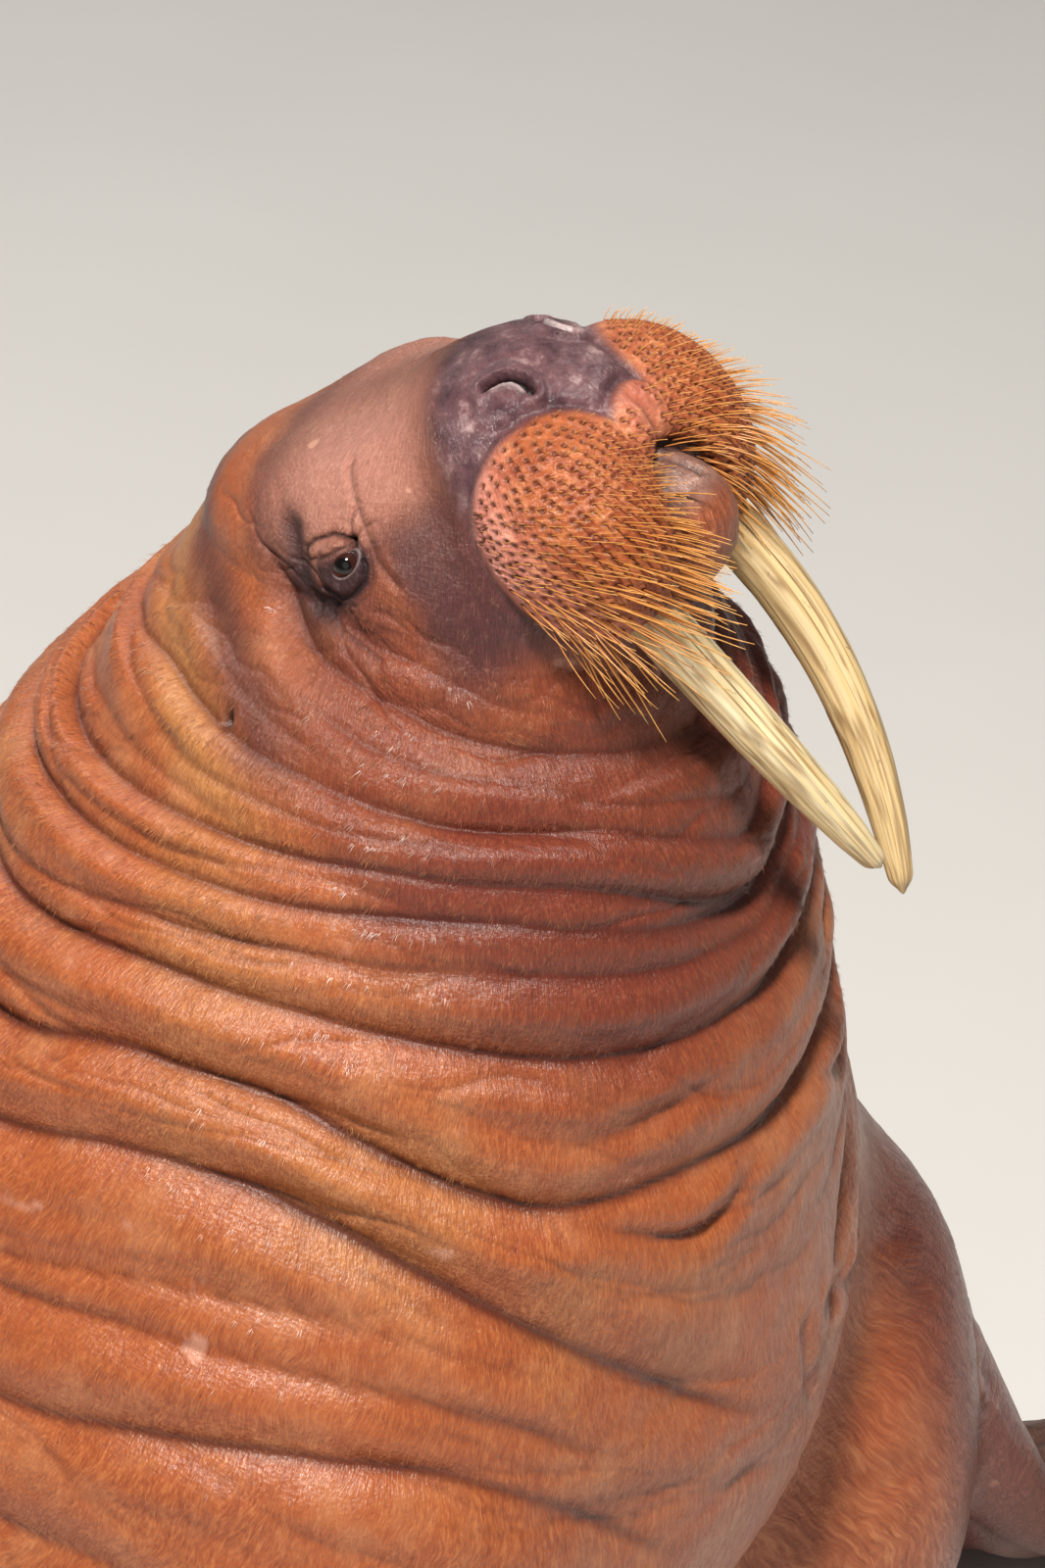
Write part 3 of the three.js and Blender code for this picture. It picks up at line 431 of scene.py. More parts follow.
# Creases of the cheek and brow: depth, width, strength of their painted shade, and points back and up,
# the same on both sides.
FACE_CREASES = [
    (2.6, 2.4, 0.4, [(-47, 50), (-45, 27), (-43, 9), (-42, -9), (-49, -29)]),
    (3.0, 3.5, 0.45, [(24, -3), (14, -17), (7, -31), (-4, -46), (-13, -60)]),
]
NOSTRIL_MIDDLE = (0, -118, -30)
NOSTRIL = [(43, -155, 38), (39, -159, 37), (35, -163, 35), (32, -167, 32), (31, -171, 29), (32, -176, 24),
           (36, -181, 18)]
NOSTRIL_LID = (41, -168, 27)
NOSTRIL_RIM = np.array(NOSTRIL) + 5.2 * unit(np.array(NOSTRIL_LID) - np.array(NOSTRIL))
PAD_MIDDLE, PAD_SIZE = (60, -157, -77), (72, 76, 88)
PHILTRUM_MIDDLE, PHILTRUM_SIZE = (0, -180, -56), (40, 56, 42)
LIP_MIDDLE, LIP_SIZE = (0, -141, -119), (47, 85, 64)
EAR = (92, -24)  # back and up
HEAD_REACH, HALVINGS = 260.0, 22  # for the search from inside the head to its skin
NOWHERE = 99.0  # a distance that no feature reaches to, in millimetres
WHISKER_ROW, WHISKER_STEP = 5.8, 6.1  # between rows and in a row, in degrees seen from the pad's middle
# Each tusk: side, middle of its root and of its tip on the left side, and how it bows aside and forward
TUSKS = {
    "right": (-1, (59, -147, -156), (13, -110, -414), (10, 10)),
    "left": (1, (59, -147, -156), (13, -86, -449), (24, 13)),
}
SIDE_NAMES = {1: "left", -1: "right"}
TUSK_RADII = [22.5, 22.5, 22, 21, 19.5, 17.5, 14.5, 9.5]
TUSK_ROOTED = 62  # how far a tusk goes on inside the head


def head_reach(start, ways):
    """How far the head's skin lies from a point inside it, along ways in the head's frame."""
    start, ways = np.asarray(start, float), np.asarray(ways, float)
    inner, outer = np.zeros(len(ways)), np.full(len(ways), HEAD_REACH)
    for _ in range(HALVINGS):
        middle = (inner + outer) / 2
        points = start + ways * middle[:, None]
        beyond = with_forms(np.full(len(ways), 1e6), points, HEAD_FORMS) > 0
        outer, inner = np.where(beyond, middle, outer), np.where(beyond, inner, middle)
    return inner


def eye_centre(side):
    reach = head_reach((0, EYE_Y, EYE_Z), [(side, 0, 0)])[0]
    return np.array([side * (reach - EYE_SUNK), EYE_Y, EYE_Z])


def pad_inside(head):
    """How far points lie inside the whisker pads, in millimetres."""
    inside = [-outside(head, mirrored(PAD_MIDDLE, side), PAD_SIZE) for side in (1, -1)]
    inside.append(-outside(head, PHILTRUM_MIDDLE, PHILTRUM_SIZE))
    return np.minimum(np.maximum.reduce(inside), outside(head, LIP_MIDDLE, LIP_SIZE))


def tusk_curve(name, share):
    """Points along a tusk's middle line, and its way there. A share below 0 is a depth in its socket."""
    side, root, tip, bow = TUSKS[name]
    a, c = mirrored(root, side), mirrored(tip, side)
    b = (a + c) / 2 + np.array([2 * side * bow[0], -2 * bow[1], 0])
    t = np.maximum(np.asarray(share, float), 0)[..., None]
    point = (1 - t) ** 2 * a + 2 * t * (1 - t) * b + t * t * c
    way = unit(2 * (1 - t) * (b - a) + 2 * t * (c - b))
    return point + way * np.minimum(np.asarray(share, float), 0)[..., None], way


def whisker_roots(side):
    """Where bristles grow on a pad, in rows, with the way out of the skin there."""
    rng = np.random.default_rng(SEEDS["roots"] + side)
    start = mirrored(PAD_MIDDLE, side) * [0.8, 0.9, 1]
    ways = []
    for i, high in enumerate(np.arange(-78, 80, WHISKER_ROW)):
        step = WHISKER_STEP / max(math.cos(math.radians(high)), 0.3)
        for turn in np.arange(-60 + (i % 2) * step / 2, 150, step):
            h = math.radians(high + rng.normal(0, 0.8))
            t = math.radians(turn + rng.normal(0, 0.8))
            ways.append((side * math.cos(h) * math.sin(t), -math.cos(h) * math.cos(t), math.sin(h)))
    ways = np.array(ways)
    reach = head_reach(start, ways)
    points = start + ways * reach[:, None]
    inside = -outside(points, mirrored(PAD_MIDDLE, side), PAD_SIZE)
    inside = np.maximum(inside, -outside(points, PHILTRUM_MIDDLE, PHILTRUM_SIZE))
    keep = (inside > 2.5) & (side * points[:, 0] > 9) & (ways[:, 1] < 0.5) & (ways[:, 2] < 0.97)
    root, way = tusk_curve(SIDE_NAMES[side], 0)
    from_tusk = np.linalg.norm(np.cross(points - root, way), axis=-1)
    keep &= (from_tusk > 25) | (points[:, 1] > -100)
    return points[keep], ways[keep]


def on_skin(points):
    """Points of the head moved out or in to its skin."""
    away = np.asarray(points, float) - NOSTRIL_MIDDLE
    ways = unit(away)
    return NOSTRIL_MIDDLE + ways * head_reach(NOSTRIL_MIDDLE, ways)[:, None]


def head_features(head, roots):
    """How far the head's features push the skin out, and the masks that colour it, with painted shade in its
    slits, holes, creases and hollows.
    """
    x, y, z = head[..., 0], head[..., 1], head[..., 2]
    near = (y < 190) & (z > -260)
    push = np.zeros(x.shape)
    masks = {name: np.zeros(x.shape) for name in ("pad", "pit", "lid", "recess_shade", "wet", "lip", "rim", "pink")}

    def mark(name, strength):
        masks[name] = np.maximum(masks[name], strength)

    for side in (1, -1):
        # The hollow behind each eye, pressed in and given painted shade.
        behind = np.where(side * x > 55, near_line(head[..., 1:], BEHIND_EYE), NOWHERE)
        push += -6.5 * hump(behind, 0, 8)
        mark("lid", hump(behind, 0, 13))
        mark("recess_shade", 0.6 * hump(behind, 0, 8) * smoothstep(z, 26, 10))
        out = np.array([side, 1, 1])
        away, lower, inner = (np.full(x.shape, NOWHERE) for _ in range(3))
        box = near & (z > -30) & (y < -100) & (side * x > 0)
        away[box] = near_line(head[box], on_skin(NOSTRIL) * out)
        lower[box] = np.linalg.norm(head[box] - on_skin([NOSTRIL_LID])[0] * out, axis=-1)
        inner[box] = near_line(head[box], on_skin(NOSTRIL_RIM) * out)
        push += -13 * hump(away, 0, 3.2) + 2.2 * hump(away, 8, 4) * smoothstep(lower, 11, 16)
        push += 2.4 * hump(inner, 0, 4) - 1.5 * hump(lower, 29, 4)
        # Painted shade in the nostril's slit.
        mark("recess_shade", smoothstep(away, 4.0, 1.8))
        # The nostril's pale wet rim, partly a painted highlight.
        mark("rim", hump(inner, 0, 2.4) * smoothstep(away, 2.0, 4.2))
        ear = np.where(side * x > 40, np.hypot(y - EAR[0], z - EAR[1]), NOWHERE)
        push += -8 * hump(ear, 0, 3.6) + 1.6 * hump(ear, 8, 3.2)
        # Painted shade in the ear's hole.
        mark("recess_shade", hump(ear, 0, 4))
    for deep, wide, dark, line in FACE_CREASES:
        away = np.where(near & (np.abs(x) > 50), near_line(head[..., 1:], line), NOWHERE)
        push += -deep * cusp(away, wide, FACE_EDGE) + 0.25 * deep * hump(away, 2.4 * wide, wide)
        # Painted shade along each crease of the cheek and brow.
        mark("recess_shade", dark * hump(away, 0, 0.6 + 0.25 * deep))
    push += 5.0 * hump(np.hypot(0.6 * x, y + 8), 0, 34) * smoothstep(z, 15, 45)
    inside = np.where(near, pad_inside(head), -NOWHERE)
    pad = smoothstep(inside, -3, 5)
    push += 3.4 * smoothstep(inside, -2, 16) - 3.0 * hump(inside, -2, 3.2)
    seam = near & (y < -120) & (z < -20) & (z > -105)
    push += np.where(seam, -4 * hump(x, 0, 3.6) * smoothstep(z, -20, -40), 0)
    # Painted shade in the groove down the middle of the muzzle.
    mark("recess_shade", np.where(seam, 0.5 * hump(x, 0, 2.6) * smoothstep(z, -30, -50), 0))
    for name in TUSKS:
        root, way = tusk_curve(name, 0.0)
        away = np.linalg.norm(np.cross(head - root, way), axis=-1)
        close = near & (np.linalg.norm(head - root, axis=-1) < 75)
        push += np.where(close, 2.6 * hump(away, 28, 4) - 5 * smoothstep(away, 25, 21), 0)
        # Painted shade in the groove round the tusk's root.
        mark("recess_shade", np.where(close, 0.8 * hump(away, 23, 2.2), 0))
    rows, columns = np.nonzero(inside > 0)
    here = head[rows, columns]
    for points, _ in roots.values():
        best = np.full(len(here), 1e9)
        for start in range(0, len(points), 40):
            gap = np.linalg.norm(here[:, None] - points[None, start:start + 40], axis=-1).min(1)
            best = np.minimum(best, gap)
        dimple = 1.4 * hump(best, 3.3, 1.4) - 2.8 * hump(best, 0, 1.8)
        push[rows, columns] += dimple * pad[rows, columns]
        pit = np.zeros(x.shape)
        pit[rows, columns] = np.minimum(1.2 * hump(best, 0, 2.4), 1)
        mark("pit", pit)
    lip = -outside(head, LIP_MIDDLE, LIP_SIZE)
    front = near & (y < -120) & (z > -185) & (z < -55) & (np.abs(x) < 60)
    push += np.where(front, -4.5 * hump(lip, 0, 3.4), 0)
    # Painted shade along the edge of the lip.
    mark("recess_shade", np.where(front, 0.85 * hump(lip, 0, 2.6), 0))
    lip = np.where(near & (y < -60), smoothstep(lip, -1, 6), 0)
    mark("pad", pad)
    mark("lip", lip)
    # The wet skin of the nose, whose ramp paints pale specks of highlight on it.
    mark("wet", smoothstep(y, -100, -128) * smoothstep(z, -72, -44) * (1 - pad) * (1 - lip) * near)
    mark("pink", smoothstep(y, -180, -132) * smoothstep(inside, 52, 8))
    mark("pink", 0.4 * hump(np.hypot(x, z + 40), 0, 26))
    return push, masks


def lids(head, side, centre):
    """The skin drawn over the ball of an eye, with masks of the dark lids and the painted shade behind them,
    of the painted shade along their creases and slit, and of the pale wet rim, partly a painted highlight.
    """
    gaze = unit(mirrored(GAZE, side))
    ahead = unit(np.array([0, -1.0, 0]) + gaze * gaze[1])
    above = np.cross(ahead, gaze) * side
    above = above * np.sign(above[2])
    lean = math.radians(LID_TILT)
    along = ahead * math.cos(lean) + above * math.sin(lean)
    across = above * math.cos(lean) - ahead * math.sin(lean)
    away = head - centre
    far = np.linalg.norm(away, axis=-1)
    way = away / np.maximum(far, 1e-6)[..., None]
    angle = np.arccos(np.clip(way @ gaze, -1, 1))
    p, q = way @ along, way @ across
    flat = np.maximum(np.hypot(p, q), 1e-6)
    p, q = p / flat * angle, q / flat * angle
    p, q = 0.99 * p - 0.14 * q - 0.05, 0.99 * q + 0.14 * p
    upper = smoothstep(q, -0.15, 0.3)
    power = 2.0 - 0.3 * upper
    reach = ((np.abs(p) / EYE_OPEN[0]) ** power + (np.abs(q) / EYE_OPEN[1]) ** power) ** (1 / power)
    spokes = np.sin(np.arctan2(q, p - 1.0) * 26 + 2 * np.sin(reach * 3)) * smoothstep(reach, 1.15, 1.6)
    shell = EYE_RADIUS + LID_THICK + 5.2 * smoothstep(reach, 1.0, 1.9) + 0.5 * spokes
    shell = shell - 22 * smoothstep(angle, 1.35, 2.2)
    joined = np.maximum(LID_BLEND - np.abs(far - shell), 0) ** 2 / (4 * LID_BLEND) - 0.9 * LID_BLEND / 4
    joined = joined + np.maximum(far, shell)
    open_share = smoothstep(reach, 1.01, 0.92)
    moved = np.where(far > 75, far, joined * (1 - open_share) + (EYE_RADIUS - 3.2) * open_share)
    moved = far + (moved - far) * smoothstep(far, 62, 40)
    here = smoothstep(far, 62, 44) * smoothstep(angle, 2.3, 1.9)
    place = np.stack([way @ along, way @ across], -1) * moved[..., None]
    lift, line = np.zeros(far.shape), np.zeros(far.shape)
    for deep, wide, shade, course in LID_CREASES:
        gap = near_line(place, course)
        lift -= deep * cusp(gap, wide, LID_EDGE)
        line = np.maximum(line, shade * hump(gap, 0, 0.5 + 0.22 * deep))
    for high, wide, course in LID_FOLDS:
        lift += high * hump(near_line(place, course), 0, wide)
    lift *= here * smoothstep(reach, 1.0, 1.25)
    fold = hump(near_line(place, LID_FOLDS[0][2]), 0, 7)
    # Dark lid skin round the eye and painted shade in the recess behind the lids, both less dark on the
    # upper fold.
    dark = smoothstep(np.hypot(place[..., 0] + 3, place[..., 1] + 1), 26, 17) * (1 - 0.85 * fold)
    dark = np.maximum(dark, 0.9 * smoothstep(near_line(place, LID_RECESS), 13, 5) * (1 - 0.85 * fold))
    # The pale wet rim under the eye, partly a painted highlight.
    wet_rim_glint = 0.4 * here * hump(reach, 1.03, 0.04) * (1 - upper)
    # Painted shade along the lids' creases and round the edge of their opening.
    line = np.maximum(here * line * smoothstep(reach, 1.0, 1.2), here * smoothstep(reach, 0.97, 0.90))
    return centre + way * moved[..., None] + gaze * lift[..., None], here * dark, line, wet_rim_glint


# The skin

# Rows of the skin's grid, at rings along the spine: from, to, and step
ROW_STEPS = [(-238, -170, 1.4), (-170, -20, 0.62), (-20, 60, 1.0), (60, 320, 2.0), (320, 820, 3.6),
             (820, 2100, 8.0)]
ROWS = np.concatenate([np.arange(*part) for part in ROW_STEPS])
ROWS = np.append(ROWS[ROWS < SPINE_LENGTH - 4], SPINE_LENGTH)
COLUMNS = 600
EYE_TURN, EYE_SPREAD = math.radians(79), math.radians(13)  # where round the rings the eyes are


def turn_grid(rows):
    """The turns of each row's points, closer together where the face needs them."""
    fine = np.linspace(0, 2 * math.pi, 1441)
    face = smoothstep(rows, 300, 0)[:, None]
    eyes_row = (smoothstep(rows, -110, -80) * smoothstep(rows, 50, 15))[:, None]
    about = sum(hump(fine, middle, EYE_SPREAD) for middle in (EYE_TURN, 2 * math.pi - EYE_TURN))[None]
    density = 1 + 0.55 * face * (1 - np.cos(fine))[None] - 0.45 * face + 2.1 * eyes_row * about
    total = np.cumsum((density[:, 1:] + density[:, :-1]) / 2, axis=1)
    total = np.concatenate([np.zeros((len(rows), 1)), total], 1)
    even = np.arange(COLUMNS) / COLUMNS
    return np.stack([np.interp(even * row[-1], row, fine) for row in total])


def skin_grid():
    """The skin without folds, searched on a coarse grid first and then near that on the full one."""
    skip_rows, skip_columns = 6, 4
    turn = turn_grid(ROWS)
    ring = np.repeat(ROWS[:, None], COLUMNS, 1)
    length = ring - bend_of(ring, turn)
    coarse_rows = np.unique(np.append(np.arange(0, len(ROWS), skip_rows), len(ROWS) - 1))
    coarse = reach_of(*(grid[coarse_rows][:, ::skip_columns] for grid in (length, turn)))
    wrapped = np.concatenate([coarse, coarse[:, :1]], 1)
    columns = np.arange(COLUMNS) / skip_columns
    low = np.floor(columns).astype(int)
    share = columns - low
    across = wrapped[:, low] * (1 - share) + wrapped[:, low + 1] * share
    guess = np.empty(length.shape)
    for c in range(COLUMNS):
        guess[:, c] = np.interp(np.arange(len(ROWS)), coarse_rows, across[:, c])
    reach = reach_of(length, turn, guess)
    origin, way, _ = rays(length, turn)
    return ring, turn, length, origin + way * (reach - COAT_DEPTH)[..., None], way


def normals_of(points, way):
    """The normals of a grid closed round its columns, on the side that way is on."""
    around = np.roll(points, -1, 1) - np.roll(points, 1, 1)
    normal = unit(np.cross(around, np.gradient(points, axis=0)))
    return normal * np.where((normal * way).sum(-1, keepdims=True) < 0, -1, 1)


def cell_normals(points):
    across, down = np.roll(points, -1, 1) - points, points[1:] - points[:-1]
    return unit(np.cross(across[:-1] + across[1:], down + np.roll(down, -1, 1)))


def relaxed(points, plain, rounds, fixed=False, limit=None):
    """The same grid, smoothed where it folds over against a plain one, or bends more than a limit."""
    plain = cell_normals(plain)
    for _ in range(rounds):
        bad = (cell_normals(points) * plain).sum(-1) < 0.25
        spot = np.zeros(points.shape[:2], bool)
        spot[:-1] |= bad
        spot[1:] |= bad
        if limit:
            mean = (np.roll(points, 1, 1) + np.roll(points, -1, 1))[1:-1] + points[2:] + points[:-2]
            spot[1:-1] |= np.linalg.norm(points[1:-1] - mean / 4, axis=-1) > limit
        spot[1:-1] |= spot[2:] | spot[:-2]
        spot |= np.roll(spot, 1, 1) | np.roll(spot, -1, 1)
        spot[[0, -1]] = False
        spot &= ~np.asarray(fixed)
        rows = np.nonzero(spot.any(1))[0]
        if not len(rows):
            break
        part = points[rows]
        mean = (np.roll(part, 1, 1) + np.roll(part, -1, 1) + points[rows - 1] + points[rows + 1]) / 4
        points[rows] = np.where(spot[rows][..., None], 0.35 * part + 0.65 * mean, part)
    return points


def flow_of(turn, points):
    """Places across and along the lie of the hair, in metres, the same on both sides of the midline."""
    steps = np.linalg.norm(np.diff(points, axis=0), axis=-1)
    mean = np.concatenate([[0], np.cumsum(steps.mean(1))])
    along = np.repeat(mean[:, None], points.shape[1], 1)
    return np.stack([0.3 * np.minimum(turn, 2 * math.pi - turn), along / 1000, 0.15 * np.sin(turn)], -1)


def to_world(points):
    return (points + [0, FOOTPRINT_SHIFT, 0]) / 1000.0


def facing_out(points, faces):
    """The faces of a closed shape, turned round if they face inwards."""
    volume = 0.0
    for f in faces:
        for k in range(1, f.shape[1] - 1):
            a, b, c = points[f[:, 0]], points[f[:, k]], points[f[:, k + 1]]
            volume += (a * np.cross(b, c)).sum()
    return faces if volume > 0 else [f[:, ::-1] for f in faces]


def mesh_object(name, points, faces, values=None, uv=None, closed=False):
    """A mesh from points and lists of faces, with named values at its points."""
    mesh = bpy.data.meshes.new(name)
    faces = [np.asarray(f, np.int32) for f in faces if len(f)]
    if closed:
        faces = facing_out(points, faces)
    corners = np.concatenate([f.ravel() for f in faces])
    sizes = np.concatenate([np.full(len(f), f.shape[1], np.int32) for f in faces])
    mesh.vertices.add(len(points))
    mesh.vertices.foreach_set("co", np.ascontiguousarray(points, np.float32).ravel())
    mesh.loops.add(len(corners))
    mesh.loops.foreach_set("vertex_index", corners)
    mesh.polygons.add(len(sizes))
    mesh.polygons.foreach_set("loop_start", np.concatenate([[0], np.cumsum(sizes)[:-1]]).astype(np.int32))
    mesh.polygons.foreach_set("use_smooth", np.full(len(sizes), True))
    mesh.update(calc_edges=True)
    for key, value in (values or {}).items():
        if value.ndim == 1:
            layer = mesh.attributes.new(key, "FLOAT", "POINT")
            layer.data.foreach_set("value", value.astype(np.float32))
        else:
            layer = mesh.attributes.new(key, "FLOAT_VECTOR", "POINT")
            layer.data.foreach_set("vector", np.ascontiguousarray(value, np.float32).ravel())
    if uv is not None:
        layer = mesh.uv_layers.new(name="OFBake")
        layer.data.foreach_set("uv", uv[corners].astype(np.float32).ravel())
    thing = bpy.data.objects.new(name, mesh)
    bpy.context.scene.collection.objects.link(thing)
    return thing


def grid_faces(rows, columns):
    """Quads of a grid closed round its columns, and fans to two points that follow it."""
    r, c = np.meshgrid(np.arange(rows - 1), np.arange(columns), indexing="ij")
    n = (c + 1) % columns
    quads = np.stack([r * columns + c, (r + 1) * columns + c, (r + 1) * columns + n, r * columns + n], -1)
    fan = np.arange(columns)
    beyond, last = rows * columns, (rows - 1) * columns
    first = np.stack([np.full(columns, beyond), fan, (fan + 1) % columns], 1)
    final = np.stack([np.full(columns, beyond + 1), last + (fan + 1) % columns, last + fan], 1)
    return quads.reshape(-1, 4), np.concatenate([first, final])


def with_ends(grid):
    flat = grid.reshape(-1, *grid.shape[2:])
    return np.concatenate([flat, grid[0].mean(0, keepdims=True), grid[-1].mean(0, keepdims=True)])


def arm_mask(points):
    """How far a point belongs to the arm, where the body's folds fade out."""
    x, y, z = np.abs(points[..., 0]), points[..., 1], points[..., 2]
    return smoothstep(x, 230, 330) * smoothstep(y, -20, -130) * smoothstep(z, 610, 480)


def colour_masks(points):
    """Where the skin is slate, golden, pale with a painted sheen, or scarred, and where painted shade
    reddens it: the same for skin and coat.
    """
    head = to_head(points)
    x, y, z = head[..., 0], head[..., 1], head[..., 2]
    wander, fine = noise(points, 90, 3, 3), noise(points, 26, 4, 2)
    blur = 16 * wander + 7 * fine
    on_head = smoothstep(y, 190, 130) * smoothstep(z, -230, -150)
    top = smoothstep(z + blur, -52, 8) * smoothstep(y + blur, 66, 20)
    muzzle = smoothstep(y + blur, -34, -66) * smoothstep(z + blur, -150, -95)
    # The forehead, pale with a painted sheen where light falls on its top, and without slate.
    forehead = np.exp(-(((y + 36) / 64) ** 4) - ((z - 44 + 0.4 * blur) / 38) ** 4)
    forehead = forehead * (0.7 + 0.3 * smoothstep(np.abs(x), 4, 40))
    band = hump(y - 0.35 * z + blur, 84, 22) * smoothstep(z, -120, -40)
    about_eye = hump(np.hypot(y + 8, (z + 8) * 0.9), 0, 38) * (np.abs(x) > 55)
    slate = np.maximum.reduce([top, muzzle, 0.85 * band, 0.75 * about_eye]) * on_head
    slate = np.clip(slate * (1 - 0.85 * forehead), 0, 1)
    golden = hump(y - 0.35 * z + 0.6 * blur, 128, 26) * smoothstep(z, -150, -30) * on_head
    # Painted shade on the cheeks under the eyes, on the throat below the chin and on the arms.
    cheek = smoothstep(z + blur, -8, -48) * smoothstep(y + blur, 70, 20) * on_head
    throat = smoothstep(z, -150, -210) * smoothstep(y + blur, 90, -10)
    throat = throat * smoothstep(z + 2 * blur, -560, -380)
    patch = smoothstep(noise(points, 150, 8, 3), 0.05, 0.6)
    scars = smoothstep(noise(points, [30, 30, 12], 21, 2), 0.62, 0.74)
    return {
        "slate": slate,
        "pale_and_sheen": np.clip(forehead * on_head, 0, 1),
        "golden": np.clip(golden + 0.5 * patch, 0, 1),
        "scar": scars * smoothstep(noise(points, 260, 9), 0.1, 0.5),
        "low": smoothstep(points[..., 2], 620, 150),
        "ruddy_shade": np.clip(0.75 * cheek + throat + arm_mask(points), 0, 1),
    }


FOLD_ROUNDS, LIMB_ROUNDS, LIMB_BEND = 24, 40, 6  # rounds of smoothing, and the bend that is too much
MARKS = ("pad", "pit", "lid", "recess_shade", "wet", "lip", "rim", "pink", "crease", "flipper")
ring, turn, length, base, way = skin_grid()
normal = normals_of(base, way)
head = to_head(base)
fold, crease = fold_skin(base, length, ring, turn, arm_mask(base))
eyes = {side: eye_centre(side) for side in (1, -1)}
roots = {side: whisker_roots(side) for side in (1, -1)}
face = 0.75 * smoothstep(length, 30, -40)
push, marks = head_features(head, roots)
feature = np.clip(np.abs(push) / 2, 0, 1)
lumps = 2.2 * noise(base, 75, 1, 2) * (1 - face) + 0.9 * noise(base, 20, 2, 2) * (1 - 0.5 * feature)
lumps += 0.45 * noise(base, 7, 6, 1) * (1 - marks["pad"])
surface = base + normal * (push - fold + lumps - 1.5 + 1.5 * face)[..., None]
surface = relaxed(surface, base, FOLD_ROUNDS)
face_rows = np.nonzero((ROWS > -130) & (ROWS < 90))[0]
part = slice(face_rows[0], face_rows[-1])
for side in (1, -1):
    at = to_head(surface[part])
    mine = side * at[..., 0] > 20
    moved, dark, line, wet_rim_glint = lids(at, side, eyes[side])
    surface[part] = np.where(mine[..., None], from_head(moved), surface[part])
    for key, value in (("lid", dark), ("recess_shade", line), ("rim", wet_rim_glint)):
        marks[key][part] = np.maximum(marks[key][part], np.where(mine, value, 0))
at = to_head(surface)
about_eyes = np.minimum(*[np.linalg.norm(at - eyes[side], axis=-1) for side in (1, -1)]) < 27
surface = relaxed(surface, base, FOLD_ROUNDS // 2, about_eyes)
surface[..., 2] = np.maximum(surface[..., 2], 0)
surface_normal = normals_of(surface, way)
flow = flow_of(turn, surface)
masks = colour_masks(base)
# The painted shade of the creases; no flipper tone on the trunk.
marks.update(crease=crease, flipper=0 * crease)
pieces = [(surface, {**masks, **marks, "flow": flow, "face": head / 1000})]


# Limbs and tail: lofts that flare where they leave the trunk, so that the skin runs on unbroken

# Each limb: the way across its blade; how deep the web is cut; where the blade starts and is full;
# the flare of its root; its claws' length, half width and place; where long grooves run; how the
# tips reach out; and its middle line, with half width and half thickness along it.
DIGITS = 5
KNUCKLE, GROOVE = 2.2, 3.6  # how high the ridges across the blades are, and how deep the long grooves
FORE_LIMB = {
    "lie": (0, -1, 0), "web": 15, "blade": (0.5, 0.72), "flare": 28, "claw": (20, 4.0, 0.88),
    "grooves": (-0.62, -0.2, 0.18, 0.58),
    "tips": lambda c: 42 * c,
    "at": [(285, -80, 470), (345, -152, 375), (408, -216, 264), (460, -254, 156), (508, -284, 76),
           (575, -322, 34), (662, -392, 20), (730, -450, 10)],
    "size": [(130, 120), (125, 108), (114, 88), (102, 66), (98, 47), (114, 30), (122, 20), (104, 11)],
}
HIND_LIMB = {
    "lie": (0.75, 0.66, 0), "web": 22, "blade": (0.42, 0.7), "flare": 38, "claw": (30, 4.4, 0.84),
    "grooves": (-0.45, 0.1, 0.5),
    "tips": lambda c: 46 * c * c - 18,
    "at": [(50, 1500, 150), (122, 1592, 116), (208, 1630, 76), (300, 1598, 40), (385, 1520, 20),
           (440, 1430, 10)],
    "size": [(96, 96), (98, 82), (98, 58), (120, 34), (150, 19), (158, 10)],
}


def limb_points(limb, share, c, above):
    """Points of a limb of the left side: share of its length, place across (-1 to 1), above or below."""
    way, lie = way_along(limb["at"], share, 1e-4), np.array(limb["lie"], float)
    lie = unit(lie - (way @ lie)[..., None] * way)
    up = np.cross(lie, way)
    blade = smoothstep(share, *limb["blade"])
    ripple = (1 - np.cos(DIGITS * math.pi * c)) / 2
    size = curve_at([(*s, 0) for s in limb["size"]], share)
    thick = size[..., 1] * np.sqrt(np.maximum(1 - np.abs(c) ** 2.3, 0))
    thick = thick * (1 - 0.3 * blade * ripple) * above
    ahead = blade * share * (limb["tips"](c) - limb["web"] * ripple)
    point = curve_at(limb["at"], share) + lie * (size[..., 0] * c)[..., None]
    return point + up * thick[..., None] + way * ahead[..., None]


def trunk_place(points):
    """How far points lie outside the trunk, and the way out of it."""
    samples = np.linspace(0, 1, 260)
    centres = curve_at(SPINE, samples)
    downs = unit(np.gradient(centres, axis=0))
    flat = points.reshape(-1, 3)
    gap = np.abs(((flat[:, None, 1:] - centres[None, :, 1:]) * downs[None, :, 1:]).sum(-1))
    gap += 0.25 * np.linalg.norm(flat[:, None] - centres[None], axis=-1)
    share = samples[gap.argmin(1)]
    for _ in range(3):
        centre = curve_at(SPINE, share)
        down = way_along(SPINE, share, 1e-3)
        share = np.clip(share + ((flat - centre) * down).sum(-1) / SPINE_LENGTH, 0, 1)
    length = np.interp(share, _shares, _lengths)
    arm = flat - curve_at(SPINE, share)
    down = way_along(SPINE, share, 1e-3)
    turn = np.arctan2(arm[:, 0], -arm[:, 1] * down[:, 2] + arm[:, 2] * down[:, 1]) % (2 * math.pi)
    origin, way, plain = rays(np.maximum(length, 0), turn)
    reach = (arm * way).sum(-1)
    distance = distance_at(origin, way, plain, reach) + COAT_DEPTH + 1.5
    return distance.reshape(points.shape[:-1]), way.reshape(points.shape)


